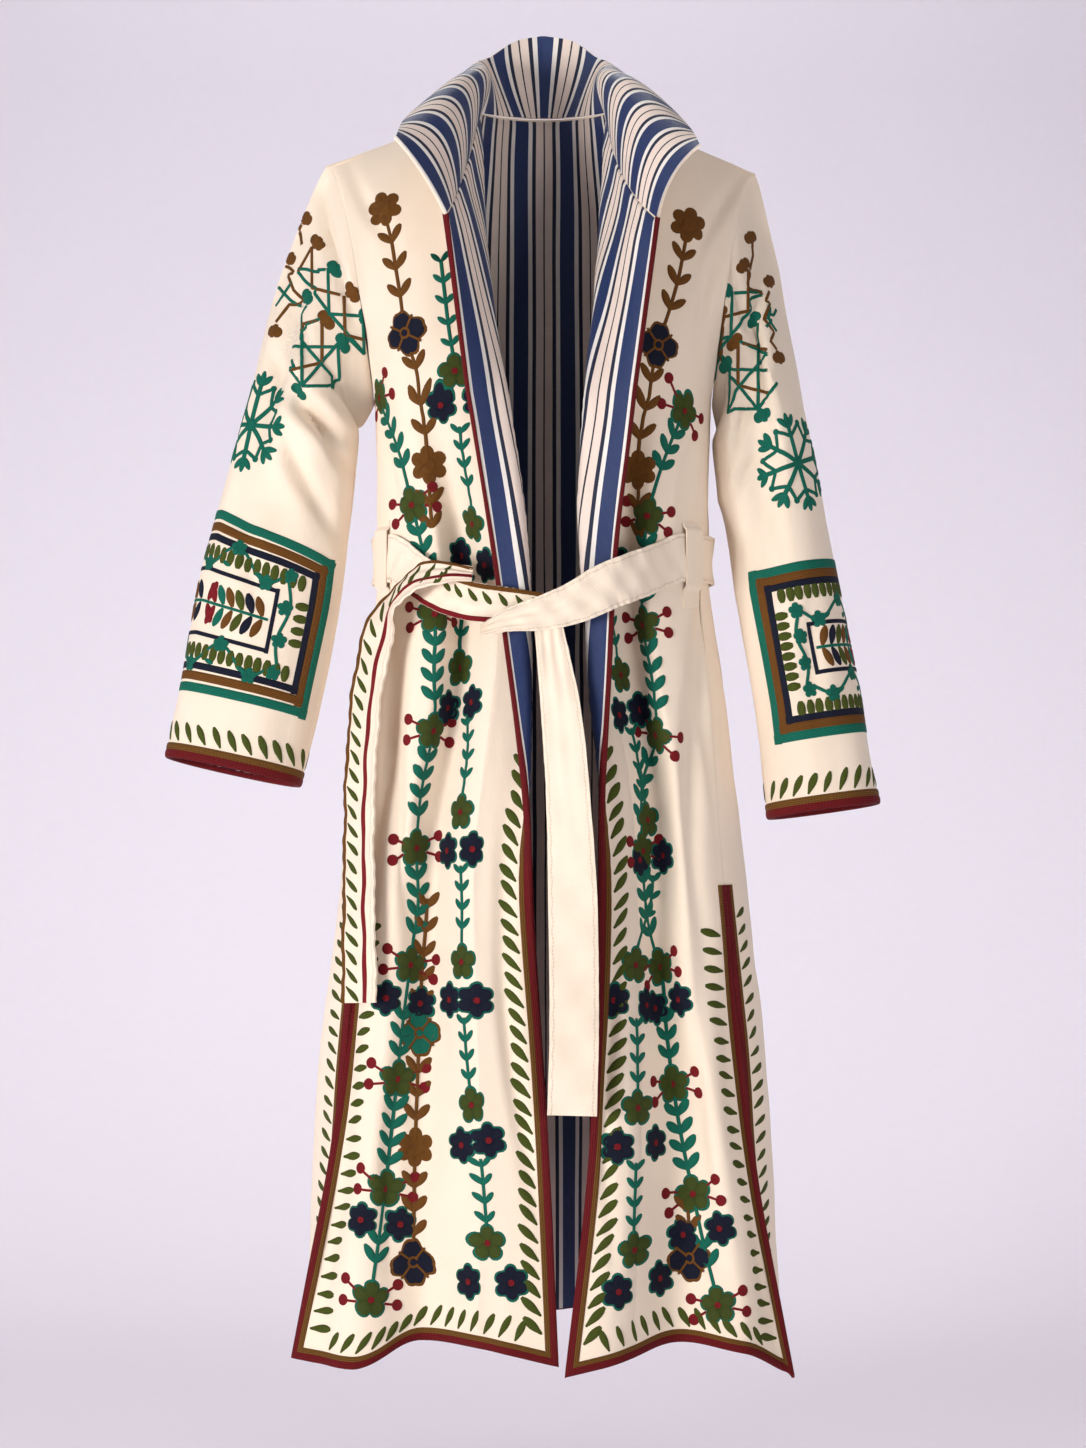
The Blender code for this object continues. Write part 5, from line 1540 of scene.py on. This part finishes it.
def stamen_column(vine, blooms, dark_after, ends_at=None):
    """Outer column: green blooms with red stamens, with pairs of leaves between."""
    needle = vine.needle
    for k, y in enumerate(blooms):
        last = k + 1 == len(blooms)
        gap = (blooms[k + 1] if not last else y + 100) - y
        if not last:
            vine.stem("teal", y, blooms[k + 1], 0.0038)
            first = 0.052 if k in dark_after else 0.030
            places = np.arange(first, gap * 0.00095 - 0.020, 0.0172)
            vine.pairs("teal", y, places, 0.0188, 0.0045)
        spot = vine.at(y)
        if k in dark_after:
            for side in (-1, 1):
                bloom(needle, needle.local(spot, [(side * 0.0186, -0.035)])[0], 0.0182, "navy", "teal", "red", 6)
        for angle in (160, 200, 20, -20):
            stamen(needle, spot, angle, 0.014, 0.0290)
        bloom(needle, spot, 0.0198, "moss", "teal", "red")


def brown_column(vine, motifs):
    """Middle column: rosettes and four-petalled blooms in turn, with pairs of brown leaves between."""
    needle = vine.needle
    for k, (kind, y) in enumerate(motifs):
        if k + 1 < len(motifs):
            after = motifs[k + 1][1]
            vine.stem("brown", y, after, 0.0038)
            room = (after - y) * 0.00095
            start, stop = 0.038 if kind else 0.010, 0.026 if motifs[k + 1][0] else 0.0
            if room - stop > start:
                places = np.linspace(start, room - stop, max(2, int((room - stop - start) / 0.0205) + 1))
                vine.pairs("brown", y, places, 0.0200, 0.0042, 38)
        spot = vine.at(y)
        if kind is None:
            continue
        if kind == "rosette":
            rosette(needle, spot, 0.0188)
        else:
            four_petals(needle, spot, 0.0245, kind)


def leaf_row(needle, fields, fixed, places, angle, size, thread="olive"):
    """Leaves along an edge: fields give the distance from it and the distance along it."""
    draw = random.Random(len(places))
    for place in places:
        spot = needle.cloth.by_edge(fields, (fixed, place))
        leaf = (size[0] * draw.uniform(0.92, 1.06), size[1] * draw.uniform(0.92, 1.08))
        needle.patch(thread, SLIM_LEAF, spot, angle + draw.uniform(-4, 4), leaf, 0.2)


def edge_leaves(needle, side, top, slit):
    """The leaf border of a front panel: up its front edge, along its hem and up its slit."""
    cloth = needle.cloth
    needle.upwards = None
    height = cloth.down[-1:] - cloth.down
    away = cloth.across[:, -1:] - cloth.across
    total = float(cloth.across[-1, -1])
    turn = (lambda angle: angle) if side == "left" else (lambda angle: 180 - angle)
    leaf_row(needle, (cloth.across, height), 0.0135, np.arange(0.026, top, 0.0168), turn(132), (0.0245, 0.0040))
    hem_places = np.arange(0.040, total - 0.030, 0.0160)
    leaf_row(needle, (height, cloth.across), 0.0135, hem_places, turn(HEM_LEAN), (0.0230, 0.0035))
    leaf_row(needle, (away, height), 0.0135, np.arange(0.030, slit, 0.0166), turn(16), (0.0240, 0.0038))


HEM_LEAN = 62
FRONT_COLUMNS = {
    "left": {
        "cluster": [
            (441, 262), (449, 330), (455, 371), (462, 450), (466, 524), (463, 610), (460, 668), (460, 745), (461, 812),
            (462, 900), (462, 962), (467, 1060), (472, 1105), (483, 1180), (488, 1243), (492, 1290),
        ],
        "cluster_blooms": [371, 524, 668, 812, 962, 1105, 1243],
        "cluster_top": [241, 262, 283, 304, 325, 346],
        "brown": [
            (383, 208), (393, 250), (400, 294), (405, 333), (418, 380), (424, 425), (428, 465), (432, 530),
        ],
        "brown_motifs": [("rosette", 208), ("navy", 333), ("rosette", 465), (None, 528)],
        "low_brown": [(428, 890), (425, 935), (419, 1033), (415, 1147), (414, 1200), (413, 1262), (412, 1290)],
        "low_motifs": [(None, 897), ("teal", 1033), ("rosette", 1147), ("navy", 1262)],
        "stamen": [
            (372, 398), (390, 450), (412, 505), (425, 560), (435, 614), (434, 670), (433, 731), (430, 790), (425, 848),
            (418, 905), (410, 965), (403, 1020), (397, 1079), (391, 1135), (385, 1189), (378, 1245), (371, 1300),
            (370, 1315),
        ],
        "stamen_blooms": [398, 505, 614, 731, 848, 965, 1079, 1189, 1300],
    },
    "right": {
        "cluster": [
            (None, 0.052, 270), (None, 0.058, 380), (None, 0.064, 530), (None, 0.066, 675), (None, 0.067, 820),
            (None, 0.068, 900), (644, 965), (646, 1040), (646, 1108), (643, 1180), (642, 1250), (640, 1300),
        ],
        "cluster_blooms": [380, 530, 675, 820, 965, 1108, 1250],
        "cluster_top": [270, 291, 312, 333, 354],
        "brown": [
            (689, 224), (683, 255), (671, 305), (658, 345), (648, 400), (638, 470), (632, 540),
        ],
        "brown_motifs": [("rosette", 224), ("navy", 345), ("rosette", 470), (None, 538)],
        "low_brown": [(687, 1195), (689, 1225), (690, 1258), (690, 1290)],
        "low_motifs": [(None, 1200), ("navy", 1258)],
        "stamen": [
            (684, 411), (664, 460), (647, 516), (644, 570), (643, 625), (645, 680), (648, 735), (650, 790), (651, 851),
            (655, 910), (660, 967), (666, 1025), (673, 1084), (682, 1140), (693, 1194), (705, 1250), (718, 1305),
            (720, 1318),
        ],
        "stamen_blooms": [411, 516, 625, 735, 851, 967, 1084, 1194, 1305],
    },
}


def sew_front(side):
    needle, table = Needle("embroidery_front_" + side, CLOTHS["front_" + side]), FRONT_COLUMNS[side]
    cluster_column(Vine(needle, table["cluster"]), table["cluster_blooms"], table["cluster_top"])
    brown_column(Vine(needle, table["brown"]), table["brown_motifs"])
    brown_column(Vine(needle, table["low_brown"]), table["low_motifs"])
    stamen_column(Vine(needle, table["stamen"]), table["stamen_blooms"], (5, 7))
    edge_leaves(needle, side, 0.615, 0.425)
    needle.make("red_braid")


def sew_back():
    cloth = CLOTHS["back"]
    needle = Needle("embroidery_back", cloth)
    middle = cloth.across[:, cloth.across.shape[1] // 2][:, None]
    from_middle = cloth.across - middle
    for offset in (-0.135, 0.0, 0.135):
        flare = lambda y, offset=offset: offset * (0.72 + 0.5 * max(0.0, (y - 300) / 1050))
        marks = [cloth.by_edge((from_middle, cloth.seen[..., 1]), (flare(y), y)) for y in range(190, 1330, 60)]
        vine = Vine.__new__(Vine)
        vine.needle, vine.cloth = needle, cloth
        vine.line = np.concatenate([np.linspace(a, b, 30, endpoint=False) for a, b in zip(marks, marks[1:])])
        vine.run = lengths(cloth.sample(cloth.points, vine.line))
        vine.rows = np.maximum.accumulate(cloth.sample(cloth.seen, vine.line)[:, 1])
        if offset:
            stamen_column(vine, [230, 340, 455, 570, 685, 800, 915, 1030, 1145, 1260], (5, 8))
        else:
            kinds = ["rosette", "navy", "rosette", "teal"] * 3
            brown_column(vine, list(zip(kinds[:10], range(200, 1330, 116))))
    needle.upwards = None
    height, away = cloth.down[-1:] - cloth.down, cloth.across[:, -1:] - cloth.across
    total = float(cloth.across[-1, -1])
    # Seen from behind, the panel's first column is on the right.
    leaf_row(needle, (cloth.across, height), 0.0135, np.arange(0.030, 0.425, 0.0166), 156, (0.0215, 0.0031))
    leaf_row(needle, (away, height), 0.0135, np.arange(0.030, 0.425, 0.0166), 24, (0.0215, 0.0031))
    leaf_row(needle, (height, cloth.across), 0.0135, np.arange(0.045, total / 2, 0.0160), 118, (0.0230, 0.0035))
    leaf_row(needle, (height, away), 0.0135, np.arange(0.045, total / 2, 0.0160), 62, (0.0230, 0.0035))
    needle.make("red_braid")


LATTICE_HEARTS = [
    ("brown", 315, 242, 250), ("brown", 348, 290, 235), ("brown", 324, 319, 250),
    ("teal", 332, 268, 250), ("teal", 365, 312, 235), ("teal", 306, 297, 250), ("teal", 340, 342, 240),
    ("teal", 300, 392, 70), ("brown", 301, 215, 265), ("brown", 290, 259, 265), ("brown", 275, 330, 80),
]
LATTICE_LINES = [
    ("teal", (298, 272), (330, 314), (365, 354)), ("teal", (293, 331), (340, 386)), ("teal", (328, 268), (329, 315)),
    ("teal", (302, 300), (302, 386)), ("teal", (338, 347), (340, 386)), ("teal", (363, 318), (364, 354)),
    ("brown", (312, 247), (312, 288)), ("brown", (344, 296), (345, 335)), ("brown", (322, 322), (322, 362)),
    ("teal", (298, 269), (326, 270)), ("teal", (330, 314), (361, 316)), ("teal", (293, 347), (334, 347)),
    ("teal", (302, 386), (340, 386)), ("brown", (312, 288), (340, 295)), ("brown", (293, 327), (318, 320)),
    ("brown", (291, 370), (320, 363)), ("teal", (293, 331), (330, 314)), ("teal", (302, 386), (345, 335)),
    ("teal", (345, 335), (364, 354)), ("brown", (298, 272), (312, 247)), ("brown", (345, 335), (365, 340)),
    ("brown", (284, 265), (296, 296), (276, 322)), ("teal", (276, 285), (294, 304)), ("teal", (292, 282), (276, 306)),
    ("brown", (299, 222), (302, 245)), ("teal", (283, 360), (302, 386)),
]


class Sleeve(Needle):
    """A needle on a sleeve, whose photograph pixels may be carried over to the sleeve's far side."""

    far_side = False

    def pixel(self, x, y):
        spot = self.cloth.by_pixel(x, y)
        return np.array([spot[0], self.cloth.points.shape[1] - 1 - spot[1]]) if self.far_side else spot


def wheel(needle, spot):
    """Eight spokes with a sprig on each and a zigzag ring between them."""
    ring = []
    for k in range(8):
        a = math.radians(45 * k + 8)
        out, side = np.array([math.cos(a), math.sin(a)]), np.array([-math.sin(a), math.cos(a)])
        needle.line("teal", needle.local(spot, [out * r for r in (0.003, 0.018, 0.036)]), 0.0046, 0.4)
        for turn in (-38, 0, 38):
            start = needle.local(spot, [out * 0.033])[0]
            needle.patch("teal", LEAF, start, math.degrees(a) + turn, (0.0150, 0.0032), 0.5)
        b = math.radians(45 * k + 30.5)
        ring += [out * 0.026, np.array([math.cos(b), math.sin(b)]) * 0.037]
        needle.patch("teal", DISC, needle.local(spot, [ring[-1]])[0], 0, (0.0032, 0.0032), 0.8)
    needle.line("teal", needle.local(spot, ring + ring[:1]), 0.0038)
    needle.patch("teal", DISC, spot, 0, (0.0055, 0.0055), 1.2)


class Band:
    """The framed band round a lower sleeve: u runs from its inner end outwards and v down, in metres."""

    def __init__(self, needle, inner_top, outer_top, inner_low, outer_low, long):
        self.needle, self.cloth, self.long = needle, needle.cloth, long
        corners = [self.cloth.by_pixel(*mark) for mark in (inner_top, outer_top, inner_low, outer_low)]
        self.first = 0.5 * (corners[0][1] + corners[2][1])
        self.last = 0.5 * (corners[1][1] + corners[3][1])
        self.rows = [corners[k][0] for k in range(4)]
        deep = self.cloth.sample(self.cloth.down, corners[2])[0] - self.cloth.sample(self.cloth.down, corners[0])[0]
        self.deep = float(deep)

    def spot(self, u, v):
        row = 0.5 * (self.rows[0] + self.rows[2])
        across = self.cloth.across[int(row)]
        column = np.interp(np.interp(self.first, np.arange(len(across)), across) - u, across, np.arange(len(across)))
        share = np.clip((self.first - column) / (self.first - self.last), 0, 1)
        top = self.rows[0] + (self.rows[1] - self.rows[0]) * share
        low = self.rows[2] + (self.rows[3] - self.rows[2]) * share
        return np.array([top + (low - top) * v / self.deep, column])

    def run(self, thread, points, width, level=0):
        fine = []
        for a, b in zip(points, points[1:]):
            steps = max(2, int(math.hypot(b[0] - a[0], b[1] - a[1]) / 0.006))
            fine += [(a[0] + (b[0] - a[0]) * t, a[1] + (b[1] - a[1]) * t) for t in np.arange(steps) / steps]
        self.needle.line(thread, [self.spot(*p) for p in fine + [points[-1]]], width, level)

    def frame(self, thread, inset, width):
        a, b, c, d = inset, self.long - inset, inset, self.deep - inset
        half = 0.5 * width
        self.run(thread, [(a, c - half), (a, d + half)], width)
        self.run(thread, [(b, c - half), (b, d + half)], width)
        for v in (c, d):
            self.run(thread, [(a - half, v), (b + half, v)], width, 0.1)

    def leaf(self, thread, u, v, angle, length, half, shape=LEAF):
        spot = self.spot(u, v)
        ends = self.cloth.sample(self.cloth.points, np.array([self.spot(u, v - 0.01), self.spot(u, v + 0.01)]))
        self.needle.upwards = ends[0] - ends[1]
        self.needle.patch(thread, shape, spot, angle, (length, half), 0.3)


def sew_band(band, mirrored):
    middle, long = band.deep / 2, band.long
    turn = (lambda angle: 180 - angle) if mirrored else (lambda angle: angle)
    for thread, inset, width in (("teal", 0.0042, 0.0092), ("brown", 0.0122, 0.0088), ("navy", 0.0192, 0.0070)):
        band.frame(thread, inset, width)
    for u in np.arange(0.032, long - 0.030, 0.0092):
        band.leaf("olive", u, 0.0345, 90, 0.0155, 0.0041, LOBE)
        band.leaf("olive", u, band.deep - 0.0345, 270, 0.0155, 0.0041, LOBE)
    for v in np.arange(0.046, band.deep - 0.044, 0.0092):
        band.leaf("olive", 0.0350, v, turn(180), 0.0150, 0.0041, LOBE)
    for side in (-1, 1):
        centre = middle + side * 0.034
        path = [(u, centre + 0.0085 * math.sin((u - 0.05) / 0.0105)) for u in np.arange(0.048, long - 0.030, 0.004)]
        band.run("teal", path, 0.0034)
        for k, u in enumerate(np.arange(0.0665, long - 0.035, 0.0330)):
            spot = band.spot(u, centre + 0.0085 * (-1 if k % 2 else 1))
            band.needle.patch("teal", BLOOM, spot, 20, (0.0085, 0.0085), 0.9, scallops(5, 0.30))
            band.leaf("teal", u + 0.014, centre + 0.004, turn(200), 0.0100, 0.0026)
    path = [(0.0430 + 0.0035 * math.sin((v - middle) / 0.0085), v) for v in np.arange(middle - 0.034, middle + 0.036, 0.004)]
    band.run("teal", path, 0.0034)
    for v in (middle - 0.036, middle - 0.012, middle + 0.012, middle + 0.036):
        band.needle.patch("teal", BLOOM, band.spot(0.0440, v), 20, (0.0080, 0.0080), 0.9, scallops(5, 0.30))
    box = 0.054
    for v in (middle - 0.022, middle + 0.022):
        band.run("navy", [(box, v), (long - 0.034, v)], 0.0042)
    band.run("navy", [(box, middle - 0.024), (box, middle + 0.024)], 0.0042)
    band.run("teal", [(box + 0.004, middle), (long - 0.036, middle)], 0.0030)
    for k, u in enumerate(np.arange(box + 0.010, long - 0.044, 0.0100)):
        thread = ("brown", "navy", "olive", "brown", "teal", "red", "red", "navy")[k % 8]
        lean = 66 if thread != "red" or k % 8 == 5 else 114
        band.leaf(thread, u, middle - 0.0012, turn(lean), 0.0200, 0.0046)
        band.leaf(thread, u, middle + 0.0012, turn(-lean), 0.0200, 0.0046)


def sew_sleeve(side):
    needle = Sleeve("embroidery_sleeve_" + side, CLOTHS["sleeve_" + side])
    place = (lambda x, y: (x, y)) if side == "left" else (lambda x, y: (1060 - x, y + 23))
    for far in (False, True):
        needle.far_side = far
        needle.upwards = None
        for thread, *marks in LATTICE_LINES:
            marks = np.concatenate([np.linspace(a, b, 7) for a, b in zip(marks, marks[1:])])
            fine = np.array([needle.pixel(*place(*mark)) for mark in marks])
            keep = np.concatenate([[True], np.abs(np.diff(fine, axis=0)).sum(1) > 0.05])
            needle.line(thread, fine[keep], 0.0034)
        for thread, x, y, angle in LATTICE_HEARTS:
            own = angle if (side == "left") != far else 180 - angle
            spot = needle.pixel(*place(x, y))
            heart(needle, thread, needle.local(spot, [(0.0, -0.006 if angle > 180 else 0.006)])[0], own - 180, 0.0170)
        needle.upwards = None
        wheel(needle, needle.pixel(*((251, 425) if side == "left" else (798, 463))))
    if side == "left":
        band = Band(needle, (326, 560), (222, 508), (311, 722), (180, 688), 0.262)
    else:
        band = Band(needle, (751, 572), (836, 556), (766, 744), (862, 732), 0.262)
    sew_band(band, side == "left")
    needle.upwards = None
    cloth = needle.cloth
    height = cloth.down[-1:] - cloth.down
    places = np.arange(0.008, float(cloth.across[-1, -1]) - 0.006, 0.0152)
    leaf_row(needle, (height, cloth.across), 0.0150, places, 122 if side == "left" else 60, (0.0225, 0.0035))
    needle.make("red_braid")


def belt_line(needle, thread, share, width, first=0.0, last=1.0):
    """A line along a belt stretch at a share of its width."""
    rows, count = needle.cloth.points.shape[:2]
    j = np.linspace(first * (count - 1), last * (count - 1), 80)
    needle.line(thread, np.stack([np.full(80, share * (rows - 1)), j], 1), width)


def sew_belt():
    needle = Needle("embroidery_belt_end_left", CLOTHS["belt_end_left"])
    rows, count = needle.cloth.points.shape[:2]
    run = needle.cloth.across[rows // 2]
    belt_line(needle, "brown", 0.055, 0.0048)
    belt_line(needle, "red", 0.70, 0.0055)
    for place in np.arange(0.02, run[-1] - 0.012, 0.0172):
        j = np.interp(place, run, np.arange(count))
        spot = np.array([0.14 * (rows - 1), j])
        ends = needle.cloth.points[(0, -1), int(j)]
        out = needle.cloth.normal[rows // 2, int(j)]
        needle.upwards = np.cross(out, ends[1] - ends[0])
        needle.patch("olive", SLIM_LEAF, spot, -42, (0.0215, 0.0030), 0.2)
    needle.make("red_braid")
    needle = Needle("embroidery_belt_left", CLOTHS["belt_left"])
    rows, count = needle.cloth.points.shape[:2]
    run = needle.cloth.across[rows // 2]
    belt_line(needle, "brown", 0.07, 0.0046, 0.42, 1.0)
    belt_line(needle, "red", 0.93, 0.0050, 0.30, 1.0)
    for place in np.arange(0.45 * run[-1], run[-1] - 0.01, 0.0165):
        j = np.interp(place, run, np.arange(count))
        needle.upwards = (0, 0, 1)
        needle.patch("olive", SLIM_LEAF, np.array([0.20 * (rows - 1), j]), -58, (0.0150, 0.0027), 0.2)
    needle.make("red_braid")


for side in SIGN:
    sew_front(side)
    sew_sleeve(side)
sew_back()
sew_belt()


def make_studio():
    """A pale sweep: a floor that turns up into a wall behind, with painted light falloff that makes it near white on
    the floor and darker up the wall, large soft lamps and the camera.
    """
    bpy.ops.object.select_all(action="DESELECT")
    bpy.ops.mesh.primitive_grid_add(x_subdivisions=4, y_subdivisions=60, size=1.0)
    sweep = bpy.context.object
    sweep.name = "studio_sweep"
    for vertex in sweep.data.vertices:
        x, share = vertex.co.x, vertex.co.y + 0.5
        reach = share * 9.6
        radius, start = 1.6, 4.4
        turn = min(max((reach - start) / radius, 0.0), 0.5 * math.pi)
        rest = max(0.0, reach - start - 0.5 * math.pi * radius)
        y = -3.6 + min(reach, start) + radius * math.sin(turn)
        vertex.co = (x * 14, y, -1.330 + radius * (1 - math.cos(turn)) + rest)
    sweep.data.shade_smooth()
    made, tree, shader, flat = finish("lilac paper with painted falloff", 0.9)
    place = tree.nodes.new("ShaderNodeTexCoord").outputs["Object"]
    grain = noise(tree, place, 60.0, 3.0, 0.6)
    parts = tree.nodes.new("ShaderNodeSeparateXYZ")
    tree.links.new(place, parts.inputs[0])
    # Painted light falloff: the paper is painted near white on the floor and darker up the wall, with a little random
    # grain.
    height = math_node(tree, "ADD", math_node(tree, "MULTIPLY", parts.outputs[2], 0.5), 0.66)
    shade = math_node(tree, "ADD", math_node(tree, "MULTIPLY", grain, 0.1), math_node(tree, "MINIMUM", height, 0.9))
    tree.links.new(blend_colours(tree, shade, (0.98, 0.92, 1.0), (0.66, 0.62, 0.68)), shader.inputs["Base Color"])
    behind = tree.nodes.new("ShaderNodeNewGeometry").outputs["Backfacing"]
    clear, either = tree.nodes.new("ShaderNodeBsdfTransparent"), tree.nodes.new("ShaderNodeMixShader")
    tree.links.new(behind, either.inputs[0])
    tree.links.new(shader.outputs[0], either.inputs[1])
    tree.links.new(clear.outputs[0], either.inputs[2])
    tree.links.new(either.outputs[0], tree.nodes["Material Output"].inputs["Surface"])
    sweep.data.materials.append(made)

    lamps = [
        ("key", (-3.0, -3.0, -0.85), 1.7, 178.0),
        ("fill", (2.4, -3.4, -0.9), 2.2, 70.0),
                ("behind", (0.0, 1.6, 1.9), 1.4, 26.0),
    ]
    for name, place, size, power in lamps:
        light = bpy.data.lights.new(name + "_lamp", "AREA")
        light.shape, light.size, light.energy = "DISK", size, power
        lamp = bpy.data.objects.new(name + "_lamp", light)
        bpy.context.scene.collection.objects.link(lamp)
        lamp.location = place
        away = Vector(place) - Vector((0.0, 0.0, -0.95))
        lamp.rotation_euler = away.to_track_quat("Z", "Y").to_euler()
    world = bpy.data.worlds.new("studio_air")
    world.use_nodes = True
    world.node_tree.nodes["Background"].inputs["Color"].default_value = (0.86, 0.84, 0.90, 1.0)
    world.node_tree.nodes["Background"].inputs["Strength"].default_value = 0.36
    bpy.context.scene.world = world

    camera = bpy.data.cameras.new("front_camera")
    camera.lens, camera.sensor_width, camera.clip_start = LENS, 36.0, 0.05
    eye = bpy.data.objects.new("front_camera", camera)
    bpy.context.scene.collection.objects.link(eye)
    eye.location, eye.rotation_euler = EYE, (math.radians(90), 0.0, 0.0)
    bpy.context.scene.camera = eye
    bpy.context.scene.view_settings.view_transform = "Standard"


make_studio()
